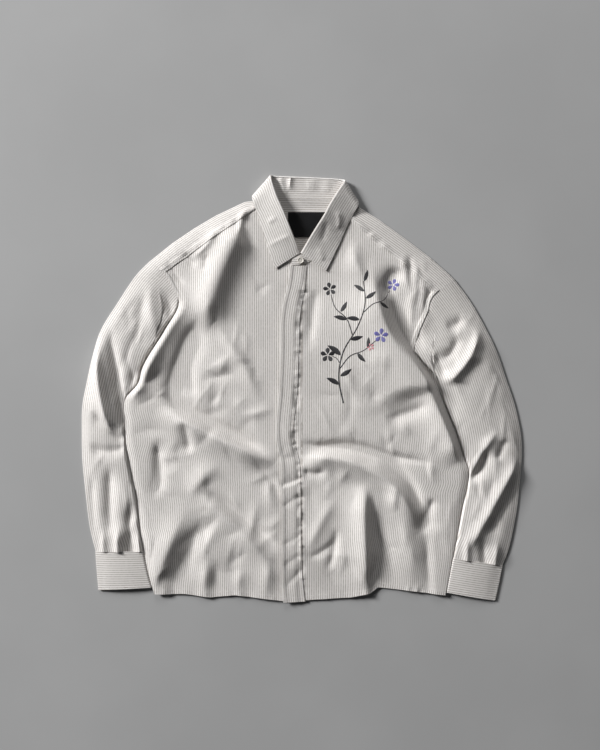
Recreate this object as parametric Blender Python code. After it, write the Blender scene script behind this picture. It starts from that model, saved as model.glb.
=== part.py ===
"""Drop-shoulder shirt laid flat on its back, one closed solid for each cut and sewn piece.

Sizes are millimetres seen from straight above: x runs to the viewer's right, y towards the
collar, z up from the surface that the shirt lies on. They become metres when a solid is made.
"""

import bpy
import numpy as np

MM = 0.001

# Cloth
CLOTH = 1.2                 # thickness of every cloth wall
CUFF_WALL = 1.5             # a cuff is two cloths thick, pressed
SEAM = 0.3                  # room between pieces where they are sewn
LOWER = CLOTH / 2           # middle of a wall that lies on the surface
PRESSED = 2.4               # middle of a sleeve's upper wall where the body lies on it
TUCK = 3.6                  # height of the strip of sleeve that the body lies on

# Body
BODY_HEIGHT = 9.0           # middle of the fronts' wall above the surface
HEM_DROP = 4.0              # how much lower the fronts are at the hem
HEM_REACH = 110.0           # height of the zone in which they come down to it
EDGE_ROLL = 9.0             # radius of the soft fold along the body's sides
FLUSH_LEFT = 150.0          # y above which fronts and sleeves meet edge to edge
FLUSH_RIGHT = 60.0
FLUSH_OVER = 34.0           # y range in which the fold along the side fades into that seam
FRONT_ROWS = 31             # rows from the hem to the start of the yoke seam
SLOPE_ROWS = 8              # rows from there to the neck
FRONT_COLUMNS = 19
HEM_Y = -370.0              # mean y of the fronts' hem
HEM_SHIFT_TOP = -250.0      # y above which the rows no longer follow the hem's line
YOKE_DROP = 0.9             # from the yoke seam down to the fronts' upper edge
FLY_LAP = 24.0              # how far the left front reaches under the fly
NECK_ROOM = 1.8             # room between the fronts and the collar's seam, seen from above
NECK_TIP = 4.0              # least width of a front, at its tip beside the neck

# Side edges of the body: y, x
LEFT_EDGE = ((-372, -264), (-337, -274), (-292, -283), (-247, -290), (-198, -295), (-157, -304),
             (-97, -315), (-58, -317), (-16, -315), (7, -295), (38, -286), (102, -248),
             (158, -221), (184, -233), (210, -250))
RIGHT_EDGE = ((-372, 257), (-312, 268), (-268, 277), (-216, 286), (-178, 295), (-146, 298),
              (-119, 288), (-83, 277), (-38, 259), (-6, 247), (23, 238), (50, 214), (68, 202),
              (101, 209), (135, 223), (173, 241))
# Armhole seams, underarm to shoulder: y, x
LEFT_ARMHOLE = ((-24, -308), (7, -282), (38, -264), (102, -234), (158, -221), (184, -233),
                (210, -250), (219, -261.5), (228, -273))
RIGHT_ARMHOLE = ((-56, 261), (-30, 244), (-6, 230), (23, 216), (50, 205), (68, 202), (101, 209),
                 (135, 223), (173, 241), (184, 257.5), (195, 274))
# Fly placket: y, left edge x, right edge x
FLY = ((-383, -32, 7), (-331, -36, 0), (-263, -36, -2), (-171, -37, -3), (-132, -38, -5),
       (-97, -45, -14), (0, -41, -9), (86, -38, -6), (119, -38, -5), (156, -33, 0),
       (184, -26, 5), (222, -21, 8))
# Hem of the fronts: x, y
HEM = ((-265, -369), (-209, -369), (-164, -375), (-119, -371), (-65, -378), (-32, -382),
       (11, -380), (88, -375), (123, -367), (137, -357), (184, -362), (258, -371))
# Seams between the yoke and the fronts: x, y
LEFT_YOKE_SEAM = ((-250, 210), (-93, 320), (-83, 325))
RIGHT_YOKE_SEAM = ((241, 173), (90, 304), (87, 306.5))
# Shoulder folds, armhole to neck: x, y
LEFT_SHOULDER = ((-273, 228), (-232, 261), (-192, 288), (-153, 311), (-102, 335), (-85.5, 336.5))
RIGHT_SHOULDER = ((274, 195), (262, 207), (229, 236), (187, 268), (140, 302), (97.5, 328.5))
BACK_SEAM_Y = (176, 162)    # seam between back panel and yoke, at the left and the right armhole
BACK_ROWS = 18
BACK_HEM_Y = -366.0         # the back's hem lies a little above the fronts' hem
BACK_TUCK = 1.5             # from the body's fold to the back's side below it
ARMHOLE_ROOM = 2.0          # room between the back and the sleeves' lower side
STRIP_STEPS = (8.0, 19.0, 30.0)    # from the strip's inner side to where the back lies flat
BACK_MIDDLE = 7             # columns across the flat middle of the back
YOKE_ROWS = 5               # rows of the yoke from its back seam to the shoulder
WING_ROWS = 6               # rows from the shoulder fold to the front seam
SHOULDER_COLUMNS = 9
NECK_COLUMNS = 7
SHOULDER_ROLL = 8.0
YOKE_ROOM = 0.5             # from the armhole seam to the yoke's wall
NECK_RISE = 1.6             # how much the yoke rises to the stand at the back of the neck
NECK_REACH = 16.0
FLY_ROWS = 32
FLY_TOP = 210.5
FLY_STEPS = (0.0, 0.33, 0.66, 0.8, 1.0)
FLY_LIFT = 1.8              # the fly's height over the front below it
FLY_FALL = 6.0              # width in which the fly comes down to its seam beside the lap
FLY_SEAM = 0.4              # room between the fly and the right front

# Sleeves, armhole to cuff: outer x, outer y, inner x, inner y, height
LEFT_SLEEVE = ((-273, 228, -308, -24, 8), (-299, 201, -311, -30, 11), (-331, 153, -311.5, -38, 13),
               (-360, 106, -308.5, -51, 14), (-375, 61, -302, -74, 13), (-387, 7, -290, -104, 12),
               (-394, -31, -283, -135, 11), (-395, -74, -276, -165, 11), (-394, -127, -269, -196, 11),
               (-389, -180, -263, -226, 11), (-381, -247, -258, -262, 10), (-370, -293, -258, -292, 8))
RIGHT_SLEEVE = ((274, 195, 261, -56, 8), (301, 158, 264, -63, 11), (324, 119, 266.5, -72, 13),
                (349, 68, 268.5, -88, 14), (367, 16, 270, -108, 13), (382, -29, 271, -133, 12),
                (392, -74, 269, -160, 12), (395, -110, 265, -187, 11), (393, -151, 259, -215, 11),
                (385, -223, 252, -248, 11), (373, -283, 247, -280, 10), (360, -318, 250, -301, 8))
SLEEVE_RINGS = 28
OPEN_STEPS = 9              # steps across a sleeve where it shows
COVERED_STEPS = 4           # steps across the strip below the body
SLEEVE_ROLL = 9.0
EDGE_LIFT = 1.6             # how much the underside rises towards a folded edge
EDGE_REACH = 4.0
SLEEVE_ROOM = 1.3           # from the armhole seam to the sleeve's wall
TUCK_INSIDE = 30.0          # how far inside the sleeve's inner side the body reaches the surface
TUCK_SLOPE = 22.0           # width in which it comes down
TUCK_TOP = (6.0, -26.0)     # y below which the body lies on the left and on the right sleeve
TUCK_FADE = 26.0
COVER_EDGE = 4.0            # how far outside the body's fold a sleeve is already pressed flat
COVER_SLOPE = 1.3           # steepness of a sleeve that comes out from below the body
SEAM_BLEND = 0.12           # share of the sleeve over which it takes the fronts' height
ARMHOLE_FADE = 0.3          # share of the sleeve in which its rings lose the armhole's curve

CUFF_RINGS = 4
# Cuffs, sleeve seam to edge: outer x, outer y, inner x, inner y, height
LEFT_CUFF = ((-370.5, -293.6, -258, -292.8, 7.5), (-368, -327, -256, -324, 7),
             (-365, -362, -254, -356, 6.5))
RIGHT_CUFF = ((360.5, -318.8, 250, -301.8, 7.5), (354, -350, 244, -331, 7),
              (347, -381, 238, -362, 6.5))

# Collar stand, left front end to right front end: seam x, y, z, top x, y, z
STAND = ((6, 215.5, 7.6, 3, 234, 8.2), (-3, 217, 8, -7, 241, 9.2), (-20, 228, 8.6, -12, 257, 10.8),
         (-34, 241, 9, -18, 273, 12.2), (-47, 259, 9, -25, 291, 12.8), (-58, 277, 9, -32, 309, 13),
         (-68, 295, 8.8, -40, 327, 12.4), (-75, 313, 8.2, -48, 346, 11), (-83, 335, 5.2, -56, 376, 7.4),
         (-72, 340, 2.4, -47, 378.5, 4.2), (-43, 340, 2.2, -32, 378, 3.8), (-3, 340, 2.2, -3, 377, 3.8),
         (50, 339, 2.2, 50, 374.5, 3.8), (80, 336, 2.4, 70, 372.5, 4), (95, 327, 5.2, 76, 367.5, 7.4),
         (85, 312, 8.2, 64.5, 349, 11), (77, 299, 8.8, 50, 325, 12.4), (67, 284, 9, 42, 309, 13),
         (56, 270, 9, 30, 290, 12.8), (43, 255, 9, 18, 271, 12.2), (29, 241, 9, 8, 254, 11.4),
         (15, 228, 9.6, 0, 241, 11.2), (-3, 217, 10.6, -7, 234, 11.4), (-16, 214, 10.8, -14, 231, 11.4))
STAND_STEPS = 47            # two for each row of the table
STAND_ACROSS = 3
# Collar fall: place along the stand (its rows counted from 0), outer edge x, y, z
FALL = ((1, -47, 215, 11.6), (2, -54, 231, 11.4), (3, -59, 246, 11.2), (4, -65, 265, 11),
        (5, -70, 284, 11), (6, -76, 301, 10.8), (7, -81, 318, 10.6), (7.5, -87, 333, 10.6),
        (8, -89, 345, 5.6),
        (9, -72, 342.5, 0.8), (10, -45, 341, 0.6), (11, -3, 341, 0.6), (12, 54, 340, 0.6),
        (13, 84, 339, 0.8), (14, 101.5, 335, 5.6),
        (14.5, 100, 326, 10.6), (15, 96, 319, 10.6), (16, 88, 305, 10.8),
        (17, 79, 287, 11), (18, 74, 275, 11), (19, 66, 257, 11.2), (20, 55, 234, 11.4),
        (21, 43, 210, 11.8))
FALL_STEPS = 41
FALL_ACROSS = 4
FALL_ROLL = 1.6             # radius in which the fall turns over the top of the stand
FALL_GAP = 1.0              # from the stand's top edge to where the fall begins
ROLL_STEPS = 3

# Small pieces
LABEL = (-25, 43, 272, 317, 0.9)           # left, right, bottom, top, thickness
BUTTON_PLACE = (-2, 229, 11.9)             # centre x, y and underside z
BUTTON = (5.4, 4.3, 2.2, 0.7)              # radius, radius inside the rim, height, rim height
BUTTON_SIDES = 24

# Folds of the cloth, each a soft ridge or trough through three points: start x, y, middle x, y,
# end x, y, rise, width on the left, width on the right (seen from start to end), share of the
# length over which it fades in at the start and out at the end
BODY_FOLDS = (
    (-174, 102, -153, 185, -104, 297, 14, 27, 25, 0.5, 0.2),
    (-304, -27, -259, 77, -201, 185, 8, 14, 20, 0.15, 0.35),
    (-246, -31, -216, 66, -185, 142, -5, 14, 22, 0.4, 0.4),
    (-241, -9, -137, -52, -39, -110, 7, 22, 16, 0.3, 0.3),
    (-270, -204, -264, -139, -273, -74, -4, 14, 16, 0.3, 0.3),
    (-205, -205, -183, -166, -142, -132, 4, 22, 18, 0.4, 0.4),
    (-183, -186, -120, -245, -43, -294, -5, 16, 16, 0.3, 0.3),
    (-200, -196, -162, -247, -111, -319, 5, 15, 23, 0.3, 0.4),
    (-272, -382, -239, -286, -205, -214, 9, 25, 18, 0, 0.35),
    (-173, -384, -173, -339, -167, -295, 5, 14, 14, 0, 0.6),
    (-111, -384, -113, -344, -104, -308, 4, 14, 14, 0, 0.6),
    (234, -6, 155, 95, 123, 236, 13, 68, 18, 0.12, 0.4),
    (261, -9, 184, 102, 157, 189, -5, 14, 22, 0.2, 0.3),
    (115, 182, 96, 228, 78, 272, 4, 22, 14, 0.4, 0.3),
    (0, -105, 146, -144, 211, -250, -7, 16, 18, 0.2, 0.25),
    (29, -133, 126, -171, 180, -258, 5, 16, 27, 0.4, 0.3),
    (148, -58, 191, -43, 234, -24, -4, 14, 14, 0.3, 0.3),
    (115, -385, 115, -294, 112, -195, 12, 22, 20, 0, 0.6),
    (153, -385, 146, -299, 123, -207, -5, 15, 15, 0, 0.5),
    (202, -385, 193, -294, 177, -209, 7, 25, 31, 0, 0.5),
    (36, -348, 58, -283, 79, -223, 4, 16, 16, 0.4, 0.4),
    (243, -380, 238, -312, 249, -254, -4, 14, 16, 0, 0.4),
)
LEFT_SLEEVE_FOLDS = (
    (-340, -74, -367, 70, -297, 201, 6, 16, 14, 0.2, 0.2),
    (-315, -78, -340, 74, -279, 189, -5, 14, 23, 0.2, 0.2),
    (-248, 88, -272, 155, -263, 210, 4, 13, 13, 0.3, 0.5),
    (-378, -38, -338, -79, -313, -97, -4, 11, 11, 0.3, 0.2),
    (-344, -261, -345, -196, -344, -132, -5, 13, 13, 0.3, 0.3),
    (-308, -294, -309, -245, -308, -196, -4, 11, 12, 0, 0.4),
    (-329, -295, -329, -268, -326, -240, 3, 8, 8, 0, 0.6),
)
RIGHT_SLEEVE_FOLDS = (
    (254, 5, 303, 63, 321, 124, 8, 14, 13, 0.15, 0.3),
    (279, -6, 315, 41, 330, 95, -4, 12, 18, 0.3, 0.3),
    (256, 110, 272, 113, 292, 124, -4, 11, 11, 0.3, 0.3),
    (297, -171, 321, -142, 331, -101, -5, 13, 12, 0.3, 0.3),
    (306, -258, 357, -211, 391, -142, -6, 12, 14, 0.2, 0.2),
    (328, -319, 326, -294, 321, -265, -4, 11, 11, 0, 0.5),
)

COLOURS = {
    "striped_cloth": (0.70, 0.66, 0.61),
    "label_cloth": (0.012, 0.012, 0.013),
    "button_plastic": (0.72, 0.69, 0.63),
}


def smooth(value):
    """Soft step from 0 to 1."""
    value = np.clip(value, 0.0, 1.0)
    return value * value * (3.0 - 2.0 * value)


def through(places, values, at):
    """Smooth curve through the values of a table, read at one or many places."""
    places = np.asarray(places, float)
    values = np.asarray(values, float)
    at = np.clip(np.asarray(at, float), places[0], places[-1])
    slopes = np.gradient(values, places, axis=0)
    index = np.clip(np.searchsorted(places, at, side="right") - 1, 0, len(places) - 2)
    width = places[index + 1] - places[index]
    share = (at - places[index]) / width
    if values.ndim > 1:
        share = share[..., None]
        width = width[..., None]
    start = (1 + 2 * share) * (1 - share) ** 2 * values[index]
    start_slope = share * (1 - share) ** 2 * width * slopes[index]
    end = share ** 2 * (3 - 2 * share) * values[index + 1]
    end_slope = share ** 2 * (share - 1) * width * slopes[index + 1]
    return start + start_slope + end + end_slope


def column(table, number):
    """One column of a table as numbers."""
    return np.array([row[number] for row in table], float)


def edge_x(table, y, number=1):
    """x of an edge given as rows of y and x."""
    return through(column(table, 0), column(table, number), y)


def line_y(table, x):
    """y of a line given as rows of x and y."""
    return np.interp(x, column(table, 0), column(table, 1))


def relief(x, y, folds):
    """Height that the folds add at x, y."""
    height = np.zeros_like(np.asarray(x, float))
    for x0, y0, xm, ym, x1, y1, rise, left, right, fade_in, fade_out in folds:
        length = np.hypot(x1 - x0, y1 - y0)
        ahead_x, ahead_y = (x1 - x0) / length, (y1 - y0) / length
        bow = (xm - x0) * ahead_y - (ym - y0) * ahead_x
        along = ((x - x0) * ahead_x + (y - y0) * ahead_y) / length
        inside = np.clip(along, 0.0, 1.0)
        aside = (x - x0) * ahead_y - (y - y0) * ahead_x - bow * 4.0 * inside * (1.0 - inside)
        beyond = np.maximum(np.maximum(-along, along - 1.0), 0.0) * length
        spread = np.where(aside < 0.0, left, right)
        level = np.exp(-(aside / spread) ** 2 - (beyond / spread) ** 2)
        if fade_in > 0.0:
            level = level * smooth(along / fade_in)
        if fade_out > 0.0:
            level = level * smooth((1.0 - along) / fade_out)
        height = height + rise * level
    return height


def not_below(height, floor, soft=0.8):
    """Keep a height above a floor, with a soft change from one to the other."""
    return floor + soft * np.logaddexp(0.0, (height - floor) / soft)


def not_above(height, ceiling, soft=0.8):
    """Keep a height below a ceiling, with a soft change from one to the other."""
    return ceiling - soft * np.logaddexp(0.0, (ceiling - height) / soft)


def inner_line(sleeve):
    """Inner side of a sleeve as rows of y and x, upwards."""
    return [(row[3], row[2]) for row in sleeve[::-1]]


def tuck(x, y):
    """Height of the strips of sleeve that lie below the body's sides."""
    left_reach = edge_x(inner_line(LEFT_SLEEVE), y) + TUCK_INSIDE - x
    right_reach = x - edge_x(inner_line(RIGHT_SLEEVE), y) + TUCK_INSIDE
    left = smooth(left_reach / TUCK_SLOPE) * smooth((TUCK_TOP[0] - y) / TUCK_FADE)
    right = smooth(right_reach / TUCK_SLOPE) * smooth((TUCK_TOP[1] - y) / TUCK_FADE)
    return TUCK * np.maximum(left, right)


def hem_shift(x, y):
    """How far a row near the hem is moved up or down to follow the hem's line."""
    return (line_y(HEM, x) - HEM_Y) * smooth((HEM_SHIFT_TOP - y) / (HEM_SHIFT_TOP - HEM_Y))


def collar_clearance(x, y):
    """0 below the collar, 1 away from it: folds fade out there."""
    reach = np.hypot((x + 2.0) / 88.0, (y - 275.0) / 74.0)
    return smooth((reach - 0.95) / 0.35)


def front_height(x, y):
    """Middle of the fronts' wall at x, y, without the roll along their sides."""
    floor = LOWER + CLOTH + 2.0 * SEAM + 1.15 * tuck(x, y)
    hem = smooth((y - line_y(HEM, x)) / HEM_REACH)
    level = BODY_HEIGHT - HEM_DROP * (1.0 - hem)
    raised = level + relief(x, y, BODY_FOLDS) * collar_clearance(x, y)
    return not_below(raised, floor)


def flush(x, y):
    """1 where fronts and sleeves meet edge to edge, 0 where the front's fold lies on the sleeve."""
    start = np.where(np.asarray(x) < 0.0, FLUSH_LEFT, FLUSH_RIGHT)
    return smooth((y - start) / FLUSH_OVER)


def edge_height(x, y):
    """Middle of the fronts' wall where their side folds come to rest."""
    low = TUCK + CLOTH + SEAM + 0.5
    return low + (front_height(x, y) - low) * flush(x, y)


def rounded(distance, radius):
    """Rise of a quarter round from its edge, 0 to 1."""
    share = 1.0 - np.clip(distance / radius, 0.0, 1.0)
    return np.sqrt(1.0 - share * share)


def grid_quads(rows, columns, wrap=False):
    """Faces of a grid of points, row by row; wrap joins the last row to the first."""
    quads = []
    for row in range(rows if wrap else rows - 1):
        first = row * columns
        second = (row + 1) % rows * columns
        for col in range(columns - 1):
            quads.append((first + col, first + col + 1, second + col + 1, second + col))
    return quads


def triangles(points, quads):
    """Each quad in two, along its shorter diagonal."""
    faces = []
    for a, b, c, d in quads:
        if np.linalg.norm(points[a] - points[c]) <= np.linalg.norm(points[b] - points[d]):
            faces += [(a, b, c), (a, c, d)]
        else:
            faces += [(a, b, d), (b, c, d)]
    return faces


def wall(name, points, quads, slot, thickness=CLOTH):
    """Closed wall of one thickness on a surface: both faces, and its cut edges."""
    points = np.asarray(points, float)
    used = sorted({index for quad in quads for index in quad})
    renumbered = {old: new for new, old in enumerate(used)}
    points = points[used]
    quads = [tuple(renumbered[index] for index in quad) for quad in quads]
    normals = np.zeros_like(points)
    for quad in quads:
        a, b, c, d = points[list(quad)]
        face_normal = np.cross(c - a, d - b)
        face_normal /= max(np.linalg.norm(face_normal), 1e-9)
        for index in quad:
            normals[index] += face_normal
    normals /= np.linalg.norm(normals, axis=1)[:, None]
    count = len(points)
    both = np.vstack([points + normals * thickness / 2, points - normals * thickness / 2])
    surface = triangles(points, quads)
    faces = surface + [(c + count, b + count, a + count) for a, b, c in surface]
    directed = {(quad[k], quad[(k + 1) % 4]) for quad in quads for k in range(4)}
    for a, b in sorted(directed):
        if (b, a) not in directed:
            faces += [(b, a, a + count), (b, a + count, b + count)]
    return solid(name, both, faces, slot)


def solid(name, points, faces, slot):
    """Mesh object from points in millimetres."""
    mesh = bpy.data.meshes.new(name)
    mesh.from_pydata([tuple(point) for point in np.asarray(points) * MM], [], faces)
    mesh.validate()
    mesh.update()
    piece = bpy.data.objects.new(name, mesh)
    bpy.context.scene.collection.objects.link(piece)
    mesh.materials.append(material(slot))
    return piece


def material(slot):
    """Principled material of a slot, made once."""
    found = bpy.data.materials.get(slot)
    if found:
        return found
    made = bpy.data.materials.new(slot)
    made.use_nodes = True
    shader = made.node_tree.nodes["Principled BSDF"]
    shader.inputs["Base Color"].default_value = (*COLOURS[slot], 1.0)
    shader.inputs["Roughness"].default_value = 0.35 if slot == "button_plastic" else 0.85
    shader.inputs["Metallic"].default_value = 0.0
    return made


def rounded_steps(count):
    """Steps from 0 to 1 that are close together at both ends."""
    even = np.linspace(0.0, 1.0, count)
    return 0.25 * even + 0.75 * (1.0 - np.cos(np.pi * even)) / 2.0


def side_steps(count):
    """Steps from 0 to 1 that are close together at the start only."""
    even = np.linspace(0.0, 1.0, count)
    return 0.35 * even + 0.65 * even ** 2


def front_rows(seam):
    """Heights of a front's rows, one of them at the corner of armhole and yoke seam."""
    corner = seam[0][1] - YOKE_DROP
    above = np.linspace(corner, seam[-1][1] - 1.0 - YOKE_DROP, SLOPE_ROWS + 1)[1:]
    return np.concatenate([np.linspace(HEM_Y, corner, FRONT_ROWS), above])


def front_outer(y, side):
    """x of a front's outer side: its fold, the armhole seam, then the yoke seam."""
    edge, seam = (LEFT_EDGE, LEFT_YOKE_SEAM) if side < 0 else (RIGHT_EDGE, RIGHT_YOKE_SEAM)
    armhole = LEFT_ARMHOLE if side < 0 else RIGHT_ARMHOLE
    if y > seam[0][1] - YOKE_DROP + 0.01:
        return float(np.interp(y + YOKE_DROP, column(seam, 1), column(seam, 0)))
    meeting = float(flush(side, y))
    seam_x = float(edge_x(edge, y)) * (1.0 - meeting) + float(edge_x(armhole, y)) * meeting
    return seam_x - side * (CLOTH / 2 * (1.0 - meeting ** 3) + SEAM)


def front_left():
    """Front on the viewer's left: from its side to the lap below the fly."""
    rows = []
    for y in front_rows(LEFT_YOKE_SEAM):
        outer = front_outer(y, -1)
        inner = float(edge_x(FLY, y)) + FLY_LAP
        if y > FLY_TOP:
            inner = min(inner, neck_x(y, -1) - NECK_ROOM)
        rows.append(front_row(y, outer, max(inner, outer + NECK_TIP)))
    return np.array(rows)


def front_right():
    """Front on the viewer's right: from its side to the fly."""
    rows = []
    for y in front_rows(RIGHT_YOKE_SEAM):
        outer = front_outer(y, 1)
        inner = float(edge_x(FLY, y, 2)) + SEAM
        if y > FLY_TOP:
            inner = max(inner, neck_x(y, 1) + NECK_ROOM)
        rows.append(front_row(y, outer, min(inner, outer - NECK_TIP)))
    return np.array(rows)


def front_row(y, outer, inner):
    """Points across a front at one height, from its outer edge to its inner one."""
    x = outer + (inner - outer) * side_steps(FRONT_COLUMNS)
    across = y + hem_shift(x, y)
    height = front_height(x, across)
    low = edge_height(x, across)
    z = low + (height - low) * rounded(np.abs(x - outer), EDGE_ROLL)
    return np.stack([x, across, z], axis=1)


def neck_x(y, side):
    """x of the neck seam at height y, on the left (-1) or on the right (1)."""
    start, end = (1.0, 8.0) if side < 0 else (22.0, 14.0)
    seam, top = stand_lines(np.linspace(start, end, 60))
    return float(np.interp(y, seam[:, 1], seam[:, 0]))


def back_side(y, side):
    """x of the back panel's side: below the fronts' fold, then along the armhole."""
    edge, armhole = (LEFT_EDGE, LEFT_ARMHOLE) if side < 0 else (RIGHT_EDGE, RIGHT_ARMHOLE)
    if y < armhole[0][0]:
        return float(edge_x(edge, y)) - side * BACK_TUCK
    return float(edge_x(armhole, y)) - side * ARMHOLE_ROOM


def back_panel():
    """Back: flat in the middle, and over the strips of sleeve at its sides."""
    rows = []
    for share in np.linspace(0.0, 1.0, BACK_ROWS):
        y_left, y_right = [BACK_HEM_Y + share * (top - SEAM - BACK_HEM_Y) for top in BACK_SEAM_Y]
        left = back_side(y_left, -1)
        right = back_side(y_right, 1)
        left_strip = max(float(edge_x(inner_line(LEFT_SLEEVE), y_left)), left + 4.0)
        right_strip = min(float(edge_x(inner_line(RIGHT_SLEEVE), y_right)), right - 4.0)
        x = [left, (left + left_strip) / 2] + [left_strip + step for step in STRIP_STEPS]
        flat_right = right_strip - STRIP_STEPS[-1]
        x += list(np.linspace(x[-1], flat_right, BACK_MIDDLE)[1:-1])
        x += [right_strip - step for step in STRIP_STEPS[::-1]] + [(right + right_strip) / 2, right]
        x = np.array(x)
        y = y_left + (y_right - y_left) * (x - left) / (right - left)
        hem = (line_y(HEM, x) - HEM_Y) * (1.0 - share) ** 6
        rows.append(np.stack([x, y + hem, LOWER + tuck(x, y)], axis=1))
    return np.array(rows)


def line_at(line, share):
    """Point at a share of a line's length."""
    line = np.asarray(line, float)
    steps = np.hypot(*np.diff(line[:, :2], axis=0).T)
    length = np.concatenate([[0.0], np.cumsum(steps)]) / steps.sum()
    return np.array([np.interp(share, length, line[:, axis]) for axis in range(line.shape[1])])


def back_neck():
    """Back neckline of the yoke, left shoulder to right: x, y."""
    seam = [(row[0], row[1] - SEAM - 0.2) for row in STAND[9:14]]
    return [LEFT_SHOULDER[-1]] + seam + [RIGHT_SHOULDER[-1]]


def yoke_columns():
    """Columns of the yoke: back seam point, top point, front seam point or none."""
    shoulders = np.linspace(0.0, 1.0, SHOULDER_COLUMNS)
    columns = []
    for share in shoulders:
        room = np.array([YOKE_ROOM if share == 0.0 else 0.0, 0.0])
        columns.append((line_at(LEFT_SHOULDER, share) + room, line_at(LEFT_YOKE_SEAM, share) + room))
    for share in np.linspace(0.0, 1.0, NECK_COLUMNS + 2)[1:-1]:
        columns.append((line_at(back_neck(), share), None))
    for share in shoulders[::-1]:
        room = np.array([YOKE_ROOM if share == 0.0 else 0.0, 0.0])
        columns.append((line_at(RIGHT_SHOULDER, share) - room, line_at(RIGHT_YOKE_SEAM, share) - room))
    return columns


def back_yoke():
    """Yoke: flat at the back, rounded over each shoulder, down to its front seams."""
    columns = yoke_columns()
    left = back_side(BACK_SEAM_Y[0], -1)
    right = back_side(BACK_SEAM_Y[1], 1)
    span_left, span_right = columns[0][0][0], columns[-1][0][0]
    grid = []
    keep = []
    for top, front in columns:
        share = (top[0] - span_left) / (span_right - span_left)
        start = np.array([left + share * (right - left),
                          BACK_SEAM_Y[0] + share * (BACK_SEAM_Y[1] - BACK_SEAM_Y[0]) + SEAM])
        line = [yoke_back_point(start, top, step, share, front is None)
                for step in side_steps(YOKE_ROWS)[::-1]]
        if front is None:
            line += [line[-1]] * (WING_ROWS - 1)
        else:
            line += [wing_point(top, front, step) for step in side_steps(WING_ROWS)[1:]]
        grid.append(line)
        keep.append(front is not None)
    return np.array(grid), keep


def armhole_bow(y, side):
    """How far the back's armhole bends from a straight line between yoke seam and shoulder."""
    low = BACK_SEAM_Y[0 if side < 0 else 1]
    high = (LEFT_ARMHOLE if side < 0 else RIGHT_ARMHOLE)[-1][0]
    share = (y - low) / (high - low)
    return back_side(y, side) - back_side(low, side) * (1.0 - share) - back_side(high, side) * share


def yoke_back_point(start, top, step, share, at_neck):
    """Point of the yoke's back layer; step 1 is its back seam, 0 its top."""
    x, y = top + (start - top) * step
    middle = 4.0 * step * (1.0 - step)
    x += middle * max(0.0, 1.0 - 4.0 * share) * armhole_bow(y, -1)
    x += middle * max(0.0, 4.0 * share - 3.0) * armhole_bow(y, 1)
    below = step * np.hypot(*(start - top))
    if at_neck:
        return (x, y, LOWER + NECK_RISE * smooth(1.0 - below / NECK_REACH))
    return (x, y, LOWER + EDGE_LIFT * (1.0 - rounded(below, EDGE_REACH)))


def wing_point(top, front, step):
    """Point of the yoke's front layer, from the shoulder fold (0) to the front seam (1)."""
    x, y = top + (front - top) * step
    ahead = step * np.hypot(*(front - top))
    low = LOWER + EDGE_LIFT
    return (x, y, low + (front_height(x, y) - low) * rounded(ahead, SHOULDER_ROLL))


def yoke_quads(keep):
    """Faces of the yoke: the front layer is left out between the shoulders."""
    across = YOKE_ROWS + WING_ROWS - 1
    quads = []
    for quad in grid_quads(len(keep), across):
        row, place = divmod(quad[0], across)
        if place < YOKE_ROWS - 1 or (keep[row] and keep[row + 1]):
            quads.append(quad)
    return quads


def armhole_curve(armhole):
    """Armhole seam from the shoulder to the underarm: x, y."""
    heights = np.linspace(armhole[-1][0], armhole[0][0], 80)
    return np.stack([edge_x(armhole, heights), heights], axis=1)


def outside_body(x, y, side):
    """How far a point of a sleeve is outside the body's fold; large where seams meet flush."""
    edge = edge_x(LEFT_EDGE if side < 0 else RIGHT_EDGE, y)
    return side * (x - edge) + 60.0 * flush(x, y)


def ring_plan(ends, shares, along, side, armhole):
    """x and y across a ring; near its start it follows the armhole's curve."""
    plan = ends[0] + (ends[1] - ends[0]) * shares[:, None]
    if armhole:
        curve = armhole_curve(armhole)
        bent = np.maximum(0.0, 1.0 - along / (ARMHOLE_FADE * (1.0 - 0.75 * shares))) ** 2
        straight = curve[0] + (curve[-1] - curve[0]) * shares[:, None]
        seam = np.array([line_at(curve, share) for share in shares])
        plan = plan + (seam - straight + np.array([side * SLEEVE_ROOM, 0.0])) * bent[:, None]
    return plan


def across_steps(ends, along, side, armhole):
    """Places across a ring: close together at its fold and where it goes below the body."""
    fine = np.linspace(0.0, 1.0, 200)
    plan = ring_plan(ends, fine, along, side, armhole)
    covered = np.nonzero(outside_body(plan[:, 0], plan[:, 1], side) < COVER_EDGE)[0]
    shown = fine[covered[0]] if len(covered) else 0.9
    hidden = shown + (1.0 - shown) * np.linspace(0.0, 1.0, COVERED_STEPS + 1)[1:]
    return np.concatenate([shown * rounded_steps(OPEN_STEPS + 1), hidden])


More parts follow.
